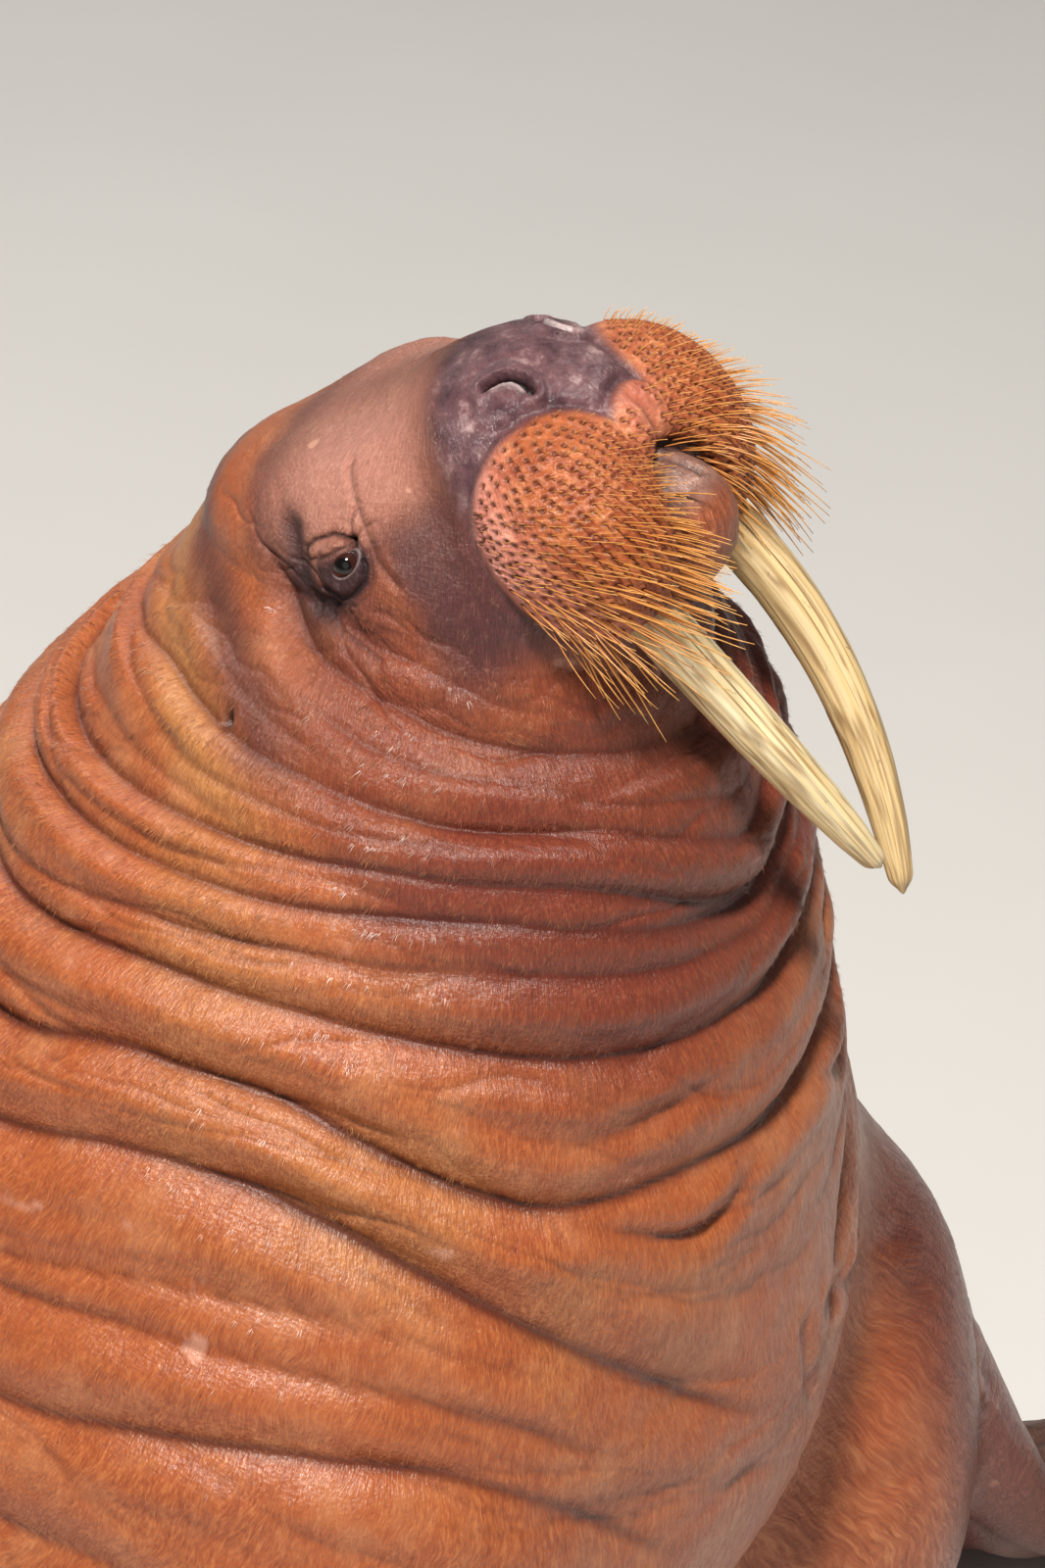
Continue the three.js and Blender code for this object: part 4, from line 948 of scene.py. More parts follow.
def flared(points, flare, outward):
    """The same loft, flared to meet the trunk along a hollow curve."""
    normal = normals_of(points, outward)
    d, _ = trunk_place(points)
    height = np.clip(d, 0, flare)
    spread = (math.sqrt(flare) - np.sqrt(height)) ** 2
    moved = points + normal * spread[..., None]
    for _ in range(2):
        now, way = trunk_place(moved)
        wanted = np.where(d > 0, height, np.maximum(d, -25) - 1.0)
        moved = moved + way * np.where(d < flare, wanted - now, 0)[..., None]
    return moved, d


def limb_piece(limb, side, seed):
    half = 70
    share = np.concatenate([np.linspace(0, 0.55, 64)[:-1], np.linspace(0.55, 1, 47)])
    place = 0.5 - 0.5 * np.cos(np.linspace(0, math.pi, half + 1))
    c = np.concatenate([2 * place[:-1] - 1, 1 - 2 * place[:-1]])
    above = np.concatenate([np.ones(half), -np.ones(half)])
    s, cc = np.meshgrid(share, c, indexing="ij")
    points = limb_points(limb, s, cc, np.broadcast_to(above, s.shape))
    middle = curve_at(limb["at"], s)
    moved, d = flared(points, limb["flare"], unit(points - middle))
    moved = relaxed(moved, points, LIMB_ROUNDS, limit=LIMB_BEND)
    normal = normals_of(moved, unit(moved - middle))
    blade = smoothstep(s, *limb["blade"])
    grain = 1.6 * noise(moved, 60, seed, 2) + 0.8 * noise(moved, [9, 9, 9], seed + 1, 2) * blade
    knuckle = KNUCKLE * np.abs(np.sin(s * 46 + 1.5 * noise(moved, 50, seed + 2))) ** 0.6
    knuckle = knuckle * smoothstep(s, 0.3, 0.45) * smoothstep(s, 0.95, 0.75)
    knuckle = knuckle * (0.4 + 0.6 * (noise(moved, 45, seed + 3) > -0.2))
    drift = cc + 0.10 * noise(moved, 130, seed + 4)
    groove = sum(np.exp(-np.abs(drift - at) / 0.05) for at in limb["grooves"])
    groove = groove * smoothstep(s, 0.08, 0.20) * smoothstep(s, 0.66, 0.52)
    rough = grain - 1.5 + (knuckle - KNUCKLE) * 0.7 * (above > 0) - GROOVE * groove
    moved = moved + normal * (rough * smoothstep(d, 4, 30))[..., None]
    moved[..., 2] = np.maximum(moved[..., 2], 0)
    moved[..., 0] *= side
    marks = {name: np.zeros(s.shape) for name in MARKS}
    marks["flipper"] = smoothstep(s, limb["blade"][0] - 0.16, limb["blade"][1])
    # Painted shade between the ridges across the blade and in the long grooves.
    between = smoothstep(1.0 - knuckle / KNUCKLE, 0.5, 1.0) * smoothstep(s, 0.3, 0.45) * (above > 0)
    marks["crease"] = np.maximum(0.35 * between, 0.75 * np.clip(groove, 0, 1) ** 2)
    flow = np.stack([0.1 * cc * side + 0.4, s * 0.9, 0 * s], -1)
    return moved, {**colour_masks(moved), **marks, "flow": flow, "face": to_head(moved) / 1000}


# The tail's sections: middle, half width and half height
TAIL_SECTIONS = [(0, 1600, 128, 72, 58), (0, 1640, 120, 62, 46), (0, 1700, 104, 52, 36),
                 (0, 1750, 89, 40, 27), (0, 1786, 78, 25, 17), (0, 1800, 74, 13, 9), (0, 1805, 72, 3, 2)]
TAIL_FLARE, TAIL_SEED = 40, 77


def tail_piece():
    share = np.linspace(0, 1, 40)
    middle = curve_at([s[:3] for s in TAIL_SECTIONS], share)
    size = curve_at([(*s[3:], 0) for s in TAIL_SECTIONS], share)
    angle = np.linspace(0, 2 * math.pi, 49)[:-1]
    up = unit(np.array([0, 0.25, 1.0]))
    points = middle[:, None] + np.array([1.0, 0, 0]) * (size[:, :1] * np.cos(angle))[..., None]
    points = points + up * (size[:, 1:2] * np.sin(angle))[..., None]
    moved, d = flared(points, TAIL_FLARE, unit(points - middle[:, None]))
    moved = moved + unit(moved - middle[:, None]) * (1.2 * noise(moved, 30, TAIL_SEED, 2) - 1)[..., None]
    marks = {name: np.zeros(d.shape) for name in MARKS}
    marks["flipper"] = 0.5 * smoothstep(moved[..., 1], 1700, 1780)
    about = np.broadcast_to(np.abs(angle - math.pi), d.shape)
    flow = np.stack([0.06 * about, moved[..., 1] / 1000, 0 * d], -1)
    return moved, {**colour_masks(moved), **marks, "flow": flow, "face": to_head(moved) / 1000}


LIMBS = [("fore_left", FORE_LIMB, 1, 50), ("fore_right", FORE_LIMB, -1, 60),
         ("hind_left", HIND_LIMB, 1, 70), ("hind_right", HIND_LIMB, -1, 80)]
pieces += [limb_piece(limb, side, seed) for _, limb, side, seed in LIMBS]
pieces.append(tail_piece())
all_points, quads, fans, start = [], [], [], 0
for points, _ in pieces:
    all_points.append(with_ends(points))
    quad, fan = facing_out(all_points[-1], grid_faces(*points.shape[:2]))
    quads.append(quad + start)
    fans.append(fan + start)
    start += len(all_points[-1])
skin = mesh_object(
    "skin", to_world(np.concatenate(all_points)), quads + fans,
    {k: np.concatenate([with_ends(values[k]) for _, values in pieces]) for k in pieces[0][1]},
)


# Whiskers, tusks, eyes and claws

ASKEW = np.array([0.31, 0.2, 0.93])  # a way that no bristle or claw runs along


def tubes(lines, radii, sides):
    """Tapered tubes along lines of points (tube, step, 3), closed at their ends."""
    way = unit(np.gradient(lines, axis=1))
    first = unit(np.cross(way, ASKEW))
    second = np.cross(way, first)
    angle = np.arange(sides) / sides * 2 * math.pi
    ringed = first[:, :, None] * np.cos(angle)[:, None] + second[:, :, None] * np.sin(angle)[:, None]
    points = lines[:, :, None] + ringed * radii[..., None, None]
    count, steps = lines.shape[:2]
    per = steps * sides
    s, k = np.meshgrid(np.arange(steps - 1), np.arange(sides), indexing="ij")
    n = (k + 1) % sides
    quad = np.stack([s * sides + k, s * sides + n, (s + 1) * sides + n, (s + 1) * sides + k], -1)
    quads = (quad.reshape(-1, 4)[None] + np.arange(count)[:, None, None] * per).reshape(-1, 4)
    ends = np.array([np.arange(sides)[::-1], (steps - 1) * sides + np.arange(sides)])
    caps = (ends[None] + np.arange(count)[:, None, None] * per).reshape(-1, sides)
    return points.reshape(-1, 3), [quads, caps]


WHISKER_STEPS, WHISKER_SIDES, WHISKER_SUNK = 8, 5, 5
WHISKER_LENGTHS = (14, 12, 50)  # at the pad's top, more at its middle, and more again at its foot
WHISKER_HANG = {1: (0.15, 0.20, -0.96), -1: (-0.04, -0.72, -0.69)}  # way of each side's long whiskers


def whiskers(side):
    rng = np.random.default_rng(SEEDS["whiskers"] + side)
    start, out = roots[side]
    count = len(start)
    outward, high = side * out[:, 0], out[:, 2]
    low = smoothstep(outward * 0.15 - high * 0.9, -0.12, 0.9)
    short, middle, long = WHISKER_LENGTHS
    length = short + middle * smoothstep(-high, -0.45, 0.15)
    length = length + long * low**1.3 * (0.25 + 0.75 * smoothstep(outward, -0.15, 0.5))
    length = length * rng.uniform(0.65, 1.15, count)
    rear = (smoothstep(out[:, 1], -0.45, 0.35) * low)[:, None]
    upright = smoothstep(high, 0.35, 0.8)[:, None]
    lean = mirrored((0.16, -0.94, -0.28), side) * (1 - low[:, None])
    lean = lean + np.array(WHISKER_HANG[side]) * low[:, None]
    lean = unit(lean * (1 - rear) + mirrored((0.12, 0.20, -0.97), side) * rear)
    first = out * (0.42 + 0.58 * upright) + lean * (0.9 - 0.6 * upright)
    first = unit(first + rng.normal(0, 0.06, (count, 3)))
    last = out * (0.02 + 0.5 * upright) + lean + np.array([0, 0.02, -0.10])
    last = unit(last + rng.normal(0, 0.09, (count, 3)))
    share = np.linspace(0, 1, WHISKER_STEPS)[None, :, None]
    at = start[:, None] - first[:, None] * WHISKER_SUNK
    bent = first[:, None] * (share - share**2 / 2) + last[:, None] * share**2 / 2
    line = at + (length[:, None, None] + WHISKER_SUNK) * bent
    thick = rng.uniform(0.72, 1.0, count) * (0.68 + 0.42 * low)
    radii = thick[:, None] * (1 - 0.72 * share[0, :, 0] ** 1.3)[None, :]
    points, faces = tubes(line, radii, WHISKER_SIDES)
    along = np.repeat(np.tile(share[0, :, 0], count), WHISKER_SIDES)
    tint = np.repeat(rng.uniform(0, 1, count), WHISKER_STEPS * WHISKER_SIDES)
    return mesh_object(f"whiskers_{SIDE_NAMES[side]}", to_world(from_head(points)), faces,
                       {"along": along, "tint": tint}, closed=True)


def tusk(name):
    side = TUSKS[name][0]
    rows, sides = 150, 56
    share = np.concatenate([[-TUSK_ROOTED, -TUSK_ROOTED / 2], np.linspace(0, 1, rows)])
    centre, way = tusk_curve(name, share)
    across = unit(np.array([1.0, 0, 0]) - way[:, :1] * way)
    ahead = np.cross(way, across)
    radius = np.interp(np.maximum(share, 0), np.linspace(0, 1, len(TUSK_RADII)), TUSK_RADII) - 0.9
    end = smoothstep(share, 0.955, 1.0)
    radius = radius * np.sqrt(np.maximum(1 - end**2 * 0.93, 0.02))
    angle = np.arange(sides) / sides * 2 * math.pi
    a, s = np.meshgrid(angle, np.maximum(share, 0), indexing="xy")
    round_points = np.stack([np.cos(a) * 2.2, np.sin(a) * 2.2, s * 1.6], -1)
    seed = SEEDS["tusk"] + side
    groove = noise(round_points, 0.62, seed, 3)
    dents = -0.8 * smoothstep(np.abs(groove), 0.16, 0.0)
    dents = dents - 0.5 * np.abs(noise(round_points, [0.3, 0.3, 1.2], seed + 5, 2))
    dents = dents + 0.7 * noise(round_points, [1.4, 1.4, 0.8], seed + 9, 2) * radius[:, None] / 20
    radius = radius[:, None]
    points = centre[:, None] + across[:, None] * ((0.88 * radius + dents) * np.cos(a))[..., None]
    points = points + ahead[:, None] * ((radius + dents) * np.sin(a))[..., None]
    around = np.stack([np.cos(a), np.sin(a), s], -1)
    full = with_ends(points)
    full[-1] = centre[-1] + way[-1] * 2.0
    values = {"place": with_ends(around), "along": with_ends(s),
              "stain": np.full(len(full), 0.3 + 0.2 * side),
              "groove": with_ends(smoothstep(np.abs(groove), 0.2, 0.0))}
    full = to_world(from_head(full))
    return mesh_object(f"ivory_{name}", full, grid_faces(rows + 2, sides), values, closed=True)


def eyeball(side):
    """A ball with the bulge of the cornea, its front towards the lids' opening."""
    rows, columns = 40, 64
    polar = np.linspace(0.03, math.pi - 0.03, rows)
    turn_round = np.arange(columns) / columns * 2 * math.pi
    bulge = 1.1 * smoothstep(polar, 0.62, 0.2)
    radius = (EYE_RADIUS - 0.6 + bulge)[:, None]
    front = unit(mirrored(GAZE, side))
    up = unit(np.cross(front, (0, 1.0, 0)))
    aside = np.cross(front, up)
    points = front * (radius * np.cos(polar)[:, None])[..., None]
    points = points + up * (radius * np.sin(polar)[:, None] * np.cos(turn_round))[..., None]
    points = points + aside * (radius * np.sin(polar)[:, None] * np.sin(turn_round))[..., None]
    full = to_world(from_head(with_ends(points) + eyes[side]))
    values = {"polar": with_ends(np.repeat(polar[:, None], columns, 1))}
    return mesh_object(f"eyeball_{SIDE_NAMES[side]}", full, grid_faces(rows, columns), values, closed=True)


CLAW_TAPER, CLAW_SIDES = [0.8, 1, 1, 0.95, 0.85, 0.72, 0.55, 0.36, 0.12], 12


def claws(limb, side, name):
    long, wide, place = limb["claw"]
    lines = []
    for k in range(DIGITS):
        c = (k - (DIGITS - 1) / 2) * 2 / DIGITS
        shares = np.array([place - 0.02, place + 0.03])
        spots = limb_points(limb, shares, np.full(2, c), np.ones(2))
        ahead = unit(spots[1] - spots[0])
        t = np.linspace(-0.25, 1, len(CLAW_TAPER))[:, None]
        rise = 3.0 * np.sin(np.clip(t, 0, 1) * 2.6) - 2.2
        line = spots[0] + ahead * long * t + np.array([0, 0, 1.0]) * rise
        lines.append(line * [side, 1, 1])
    points, faces = tubes(np.array(lines), np.tile(wide * np.array(CLAW_TAPER), (DIGITS, 1)), CLAW_SIDES)
    points[:, 2] = np.maximum(points[:, 2], 0.3)
    along = np.tile(np.repeat(np.linspace(0, 1, len(CLAW_TAPER)), CLAW_SIDES), DIGITS)
    return mesh_object(name, to_world(points), faces, {"along": along}, closed=True)


whisker_objects = [whiskers(1), whiskers(-1)]
tusk_objects = {name: tusk(name) for name in TUSKS}
eye_objects = {"left": eyeball(1), "right": eyeball(-1)}
claw_objects = [claws(limb, side, f"claws_{name}") for name, limb, side, _ in LIMBS]


# The coat: short flat tufts, each a fan of thin tapered hairs

HAIRS = 3
TUFTS = 11000  # in each piece
COAT_PIECES = 4
BARE_MARKS = ("pad", "wet", "lid", "recess_shade", "rim")  # where no coat grows
HAIR_LENGTH, HAIR_WIDTH, HAIR_RISE = (4.5, 9.0), (0.16, 0.27), (0.06, 0.15)
# A hair's points: share of its length, of its width to one side, and of its rise; then its patch of the
# bake map, in ten thousandths
HAIR_POINTS = [(0, -1.0, 0), (0, 1.0, 0), (0.5, -0.8, 0.75), (0.5, 0.8, 0.75), (1.0, 0, 0.9)]
HAIR_PATCH = [[-3, -14], [3, -14], [-3, 0], [3, 0], [0, 14]]
RULER = np.concatenate([[0], np.cumsum(np.linalg.norm(np.diff(surface, axis=0), axis=-1).mean(1))])


def coat(piece):
    rng = np.random.default_rng(SEEDS["coat"] + piece)
    a = surface[1:, :] - surface[:-1, :]
    b = np.roll(surface, -1, 1) - surface
    area = np.linalg.norm(np.cross(a, b[:-1]), axis=-1)
    beside = marks["crease"][:-1]
    crowd = (1 + 2.2 * smoothstep(length[:-1], 420, 160)) * (0.5 + hump(beside, 0.10, 0.10))
    crowd = crowd * smoothstep(beside, 0.42, 0.22)
    bare = np.clip(sum(marks[name] for name in BARE_MARKS), 0, 1)[:-1]
    under = smoothstep(surface[:-1, :, 2], 2, 12)
    weight = (area * crowd * (1 - bare) * under).ravel()
    weight[: 12 * COLUMNS] = 0
    cell = rng.choice(len(weight), TUFTS, p=weight / weight.sum())
    r, c = cell // COLUMNS, cell % COLUMNS
    u, v = rng.uniform(0, 1, (2, TUFTS, 1))
    n = (c + 1) % COLUMNS
    at = (surface[r, c] * (1 - u) + surface[r + 1, c] * u) * (1 - v)
    at = at + (surface[r, n] * (1 - u) + surface[r + 1, n] * u) * v
    out = surface_normal[r, c]
    down = unit(surface[np.minimum(r + 3, len(ROWS) - 1), c] - surface[np.maximum(r - 3, 0), c])
    down = unit(down - out * (down * out).sum(-1, keepdims=True))
    aside = np.cross(out, down)
    swirl = 0.5 * noise(at, 60, 17, 2)[:, None]
    small = (1 - 0.45 * smoothstep(length[r, c], 60, -60))[:, None]
    hair = np.arange(HAIRS)[None, :, None] - (HAIRS - 1) / 2
    fan = hair * 0.16 + rng.normal(0, 0.10, (TUFTS, HAIRS, 1)) + swirl[:, None]
    lie = unit(down[:, None] + aside[:, None] * fan)
    size = rng.uniform(*HAIR_LENGTH, (TUFTS, HAIRS, 1)) * small[:, None]
    base_at = at[:, None] + aside[:, None] * hair * 0.7 + lie * rng.uniform(-1.5, 1.5, (TUFTS, HAIRS, 1))
    base_at = base_at - out[:, None] * 0.4
    rise = rng.uniform(*HAIR_RISE, (TUFTS, HAIRS, 1))
    side_way = np.cross(out[:, None], lie)
    wide = rng.uniform(*HAIR_WIDTH, (TUFTS, HAIRS, 1))
    rows = [base_at + lie * size * share + out[:, None] * size * rise * lift + side_way * wide * width
            for share, width, lift in HAIR_POINTS]
    blades = np.stack(rows, 2)
    blades[..., 2] = np.maximum(blades[..., 2], 0.2)
    per = np.arange(TUFTS * HAIRS)[:, None] * len(HAIR_POINTS)
    quads, tips = per + [0, 1, 3, 2], per + [2, 3, 4]
    share = np.tile([point[0] for point in HAIR_POINTS], TUFTS * HAIRS)
    spread = hair * [0.0008, 0.0]
    spot = 0.004 + 0.992 * np.stack([turn[r, c] / (2 * math.pi), RULER[r] / RULER[-1]], -1)
    uv = spot[:, None, None] + spread[:, :, None] + np.array(HAIR_PATCH) * 1e-4
    each = np.repeat(np.arange(TUFTS), HAIRS * len(HAIR_POINTS))
    # The hair takes a weaker share of the painted shade in the creases.
    values = {**masks, "crease": 0.3 * marks["crease"], "flow": flow}
    values = {key: value[r, c][each] for key, value in values.items()}
    values["tip"] = share
    values["tint"] = np.repeat(rng.uniform(0, 1, TUFTS * HAIRS), len(HAIR_POINTS))
    blades = to_world(blades.reshape(-1, 3))
    return mesh_object(f"coat_{piece + 1}", blades, [quads, tips], values, uv=uv.reshape(-1, 2))


coat_objects = [coat(k) for k in range(COAT_PIECES)]


# Materials

# Ramps of colour, each stop with its place, red, green and blue
RAMPS = {
    "warm": [(0.25, 0.17, 0.031, 0.011), (0.5, 0.34, 0.084, 0.026), (0.78, 0.56, 0.205, 0.074)],
    "golden": [(0.25, 0.23, 0.085, 0.020), (0.5, 0.46, 0.21, 0.062), (0.8, 0.68, 0.40, 0.16)],
    "low": [(0.25, 0.17, 0.030, 0.012), (0.5, 0.37, 0.088, 0.034), (0.8, 0.60, 0.25, 0.11)],
    # Painted shade: dark red for the cheeks, throat and arms.
    "ruddy_shade": [(0.25, 0.062, 0.009, 0.007), (0.55, 0.155, 0.027, 0.017), (0.85, 0.34, 0.088, 0.050)],
    "slate": [(0.25, 0.026, 0.008, 0.009), (0.55, 0.075, 0.024, 0.026), (0.85, 0.22, 0.088, 0.084)],
    # Pale mauve with a painted sheen, for the forehead.
    "pale_and_sheen": [(0.25, 0.24, 0.090, 0.070), (0.5, 0.44, 0.200, 0.155), (0.8, 0.66, 0.38, 0.30)],
    "pad": [(0.3, 0.26, 0.050, 0.016), (0.55, 0.42, 0.115, 0.036), (0.75, 0.58, 0.22, 0.085)],
    "pink": [(0.3, 0.62, 0.20, 0.14), (0.6, 0.84, 0.34, 0.26), (0.8, 0.92, 0.50, 0.40)],
    # Wet nose skin; its palest stop paints specks of highlight.
    "wet": [(0.35, 0.058, 0.024, 0.032), (0.58, 0.145, 0.068, 0.076), (0.80, 0.50, 0.34, 0.33)],
    "lip": [(0.3, 0.13, 0.030, 0.014), (0.55, 0.30, 0.085, 0.038), (0.8, 0.52, 0.22, 0.11)],
    "bare": [(0.35, 0.15, 0.070, 0.055), (0.6, 0.29, 0.145, 0.105), (0.75, 0.44, 0.22, 0.16)],
    # Dark lid skin, also laid where painted shade fills the recess behind the lids.
    "lid": [(0.3, 0.008, 0.0025, 0.006), (0.7, 0.032, 0.008, 0.013)],
    "flipper": [(0.3, 0.040, 0.017, 0.012), (0.6, 0.105, 0.047, 0.033), (0.8, 0.19, 0.10, 0.07)],
    "whisker": [(0.0, 0.16, 0.030, 0.008), (0.3, 0.46, 0.16, 0.034), (1.0, 0.78, 0.42, 0.12)],
    "ivory": [(0.3, 0.72, 0.50, 0.20), (0.5, 0.92, 0.76, 0.44), (0.75, 0.96, 0.88, 0.62)],
    "claw": [(0.35, 0.020, 0.011, 0.008), (0.7, 0.10, 0.06, 0.04)],
}


class Paint:
    """A material's nodes, made one after another."""

    def __init__(self, name):
        self.material = bpy.data.materials.new(name)
        self.material.use_nodes = True
        self.tree = self.material.node_tree
        self.shader = self.tree.nodes["Principled BSDF"]

    def node(self, kind, inputs=None, **settings):
        made = self.tree.nodes.new(kind)
        for key, value in settings.items():
            setattr(made, key, value)
        for key, value in (inputs or {}).items():
            self.put(made.inputs[key], value)
        return made

    def put(self, socket, value):
        if isinstance(value, bpy.types.NodeSocket):
            self.tree.links.new(value, socket)
        else:
            if socket.type == "RGBA" and len(value) == 3:
                value = (*value, 1.0)
            socket.default_value = value

    def value(self, name):
        return self.node("ShaderNodeAttribute", attribute_name=name).outputs["Fac"]

    def vector(self, name):
        return self.node("ShaderNodeAttribute", attribute_name=name).outputs["Vector"]

    def place(self):
        return self.node("ShaderNodeTexCoord").outputs["Object"]

    def math(self, operation, a, b=0.0, c=0.0, clamp=False):
        inputs = {0: a, 1: b, 2: c}
        return self.node("ShaderNodeMath", inputs, operation=operation, use_clamp=clamp).outputs[0]

    def scaled(self, vector, scale):
        return self.node("ShaderNodeVectorMath", {0: vector, 1: scale}, operation="MULTIPLY").outputs[0]

    def stretched(self, vector, scale, *settings):
        """Noise whose grain has a size of its own along each axis."""
        return self.noise(self.scaled(vector, scale), 1.0, *settings)

    def noise(self, vector, scale, detail=2.0, rough=0.5, distort=0.0):
        return self.node("ShaderNodeTexNoise", {
            "Vector": vector, "Scale": scale, "Detail": detail, "Roughness": rough, "Distortion": distort,
        }).outputs["Fac"]

    def range(self, value, low, high, to_low=0.0, to_high=1.0):
        return self.node("ShaderNodeMapRange", {
            "Value": value, "From Min": low, "From Max": high, "To Min": to_low, "To Max": to_high,
        }, interpolation_type="SMOOTHSTEP").outputs[0]

    def mix(self, share, a, b):
        made = self.node("ShaderNodeMix", data_type="RGBA")
        self.put(made.inputs[0], share)
        self.put(made.inputs[6], a)
        self.put(made.inputs[7], b)
        return made.outputs[2]

    def over(self, colour, mask, share, tone):
        """A tone laid over a colour, as far as a mask at the points and a share allow."""
        power = self.value(mask)
        if share < 1:
            power = self.math("MULTIPLY", power, share)
        return self.mix(power, colour, tone)

    def ramp(self, value, name):
        made = self.node("ShaderNodeValToRGB", {"Fac": value})
        elements = made.color_ramp.elements
        while len(elements) < len(RAMPS[name]):
            elements.new(0.5)
        for element, (place, *colour) in zip(elements, RAMPS[name]):
            element.position = place
            element.color = (*colour, 1.0)
        return made.outputs["Color"]

    def bump(self, height, distance, strength=1.0, below=None):
        made = self.node("ShaderNodeBump", {"Height": height, "Strength": strength, "Distance": distance})
        if below is not None:
            self.tree.links.new(below, made.inputs["Normal"])
        return made.outputs["Normal"]

    def finish(self, **sockets):
        for key, value in sockets.items():
            self.put(self.shader.inputs[key.replace("_", " ")], value)
        return self.material


# Layers of the skin's colour, in order: mask, which is also the name of its ramp, and share
# The ruddy layer is painted shade, and the pale layer a painted sheen on the forehead.
BODY_LAYERS = [("golden", 0.6), ("low", 0.6), ("ruddy_shade", 0.85), ("slate", 0.9), ("pale_and_sheen", 0.75)]


def body_colour(p, streak, place):
    """The colours of the skin and of the hair on it, from the masks at their points, with painted shade in
    the creases and under the head and a painted sheen on the forehead.
    """
    colour = p.ramp(streak, "warm")
    wide = p.range(p.noise(place, 7.0, 4.0, 0.6), 0.36, 0.70, 0.0, 0.40)
    colour = p.mix(wide, colour, (0.40, 0.100, 0.030))
    blotch = p.range(p.noise(place, 17.0, 3.0, 0.6), 0.44, 0.76, 0.0, 0.28)
    colour = p.mix(blotch, colour, (0.62, 0.30, 0.14))
    for mask, share in BODY_LAYERS:
        colour = p.over(colour, mask, share, p.ramp(streak, mask))
    colour = p.over(colour, "scar", 0.7, (0.66, 0.33, 0.23))
    # Painted shade in the creases.
    return p.over(colour, "crease", 0.85, (0.060, 0.008, 0.005))


def skin_material():
    p = Paint("skin_hide")
    place, lie = p.place(), p.vector("flow")
    swirl = p.node("ShaderNodeTexNoise", {"Vector": place, "Scale": 14.0, "Detail": 2.0}).outputs["Color"]
    lie = p.node("ShaderNodeVectorMath", {0: swirl, 1: (0.020, 0.0, 0.0), 2: lie},
                 operation="MULTIPLY_ADD").outputs[0]
    streak = p.stretched(lie, (900.0, 150.0, 400.0), 2.0, 0.6)
    coarse = p.stretched(lie, (300.0, 60.0, 150.0), 2.0, 0.5)
    streak = p.math("MULTIPLY_ADD", coarse, 0.35, p.math("MULTIPLY", streak, 0.65))
    grain = p.noise(place, 420.0, 3.0, 0.6)
    pores = p.node("ShaderNodeTexVoronoi", {"Vector": place, "Scale": 300.0}).outputs["Distance"]
    pad_tone = p.noise(place, 60.0, 3.0, 0.6)
    pad = p.over(p.ramp(pad_tone, "pad"), "pink", 1, p.ramp(pad_tone, "pink"))
    pad = p.over(pad, "pit", 1, (0.042, 0.006, 0.004))
    wet_tone = p.noise(place, 45.0, 4.0, 0.65)
    front = p.node("ShaderNodeSeparateXYZ", {"Vector": p.vector("face")}).outputs["Z"]
    lip = p.mix(p.range(front, -0.128, -0.108), p.ramp(streak, "lip"), p.ramp(wet_tone, "bare"))
    layers = [
        ("pad", 1, pad),
        # Wet nose skin with pale specks of painted highlight.
        ("wet", 1, p.ramp(wet_tone, "wet")),
        ("lip", 1, lip),
        # Dark lid skin, and painted shade in the recess and hollow behind the eyes.
        ("lid", 0.9, p.ramp(grain, "lid")),
        ("flipper", 1, p.ramp(p.noise(place, 38.0, 5.0, 0.65), "flipper")),
        # Painted shade in the head's slits, holes, creases and hollows.
        ("recess_shade", 1, (0.012, 0.003, 0.004)),
        # The pale wet rims of the eyes and nostrils, partly a painted highlight.
        ("rim", 1, (0.50, 0.40, 0.40)),
    ]
    colour = body_colour(p, streak, place)
    for mask, share, tone in layers:
        colour = p.over(colour, mask, share, tone)
    rough = p.range(streak, 0.3, 0.7, 0.44, 0.27)
    rough = p.math("MULTIPLY_ADD", p.math("MAXIMUM", p.value("wet"), p.value("rim")), -0.16, rough)
    rough = p.math("MULTIPLY_ADD", p.value("flipper"), 0.16, rough, clamp=True)
    fine = p.stretched(lie, (60.0, 420.0, 120.0), 3.0, 0.6)
    normal = p.bump(streak, 0.0013, 0.9)
    for height, distance, strength in ((fine, 0.0010, 0.35), (pores, 0.0007, 0.5), (grain, 0.0006, 0.5)):
        normal = p.bump(height, distance, strength, normal)
    return p.finish(Base_Color=colour, Roughness=rough, Normal=normal, Sheen_Weight=0.03,
                    Sheen_Roughness=0.5, Specular_IOR_Level=0.42)


def coat_material():
    p = Paint("coat_hair")
    coarse = p.stretched(p.vector("flow"), (260.0, 26.0, 120.0), 2.0, 0.5)
    streak = p.math("MULTIPLY_ADD", p.value("tint"), 0.5, p.math("MULTIPLY", coarse, 0.5))
    colour = body_colour(p, streak, p.place())
    colour = p.over(colour, "tip", 0.45, p.mix(0.5, colour, (0.62, 0.34, 0.16)))
    return p.finish(Base_Color=colour, Roughness=0.36, Sheen_Weight=0.04, Specular_IOR_Level=0.5)


def whisker_material():
    p = Paint("whisker_bristle")
    colour = p.over(p.ramp(p.value("along"), "whisker"), "tint", 0.5, (0.60, 0.25, 0.06))
    rough = p.range(p.noise(p.place(), 700.0, 2.0), 0.3, 0.7, 0.28, 0.45)
    return p.finish(Base_Color=colour, Roughness=rough, Coat_Weight=0.3, Coat_Roughness=0.25)


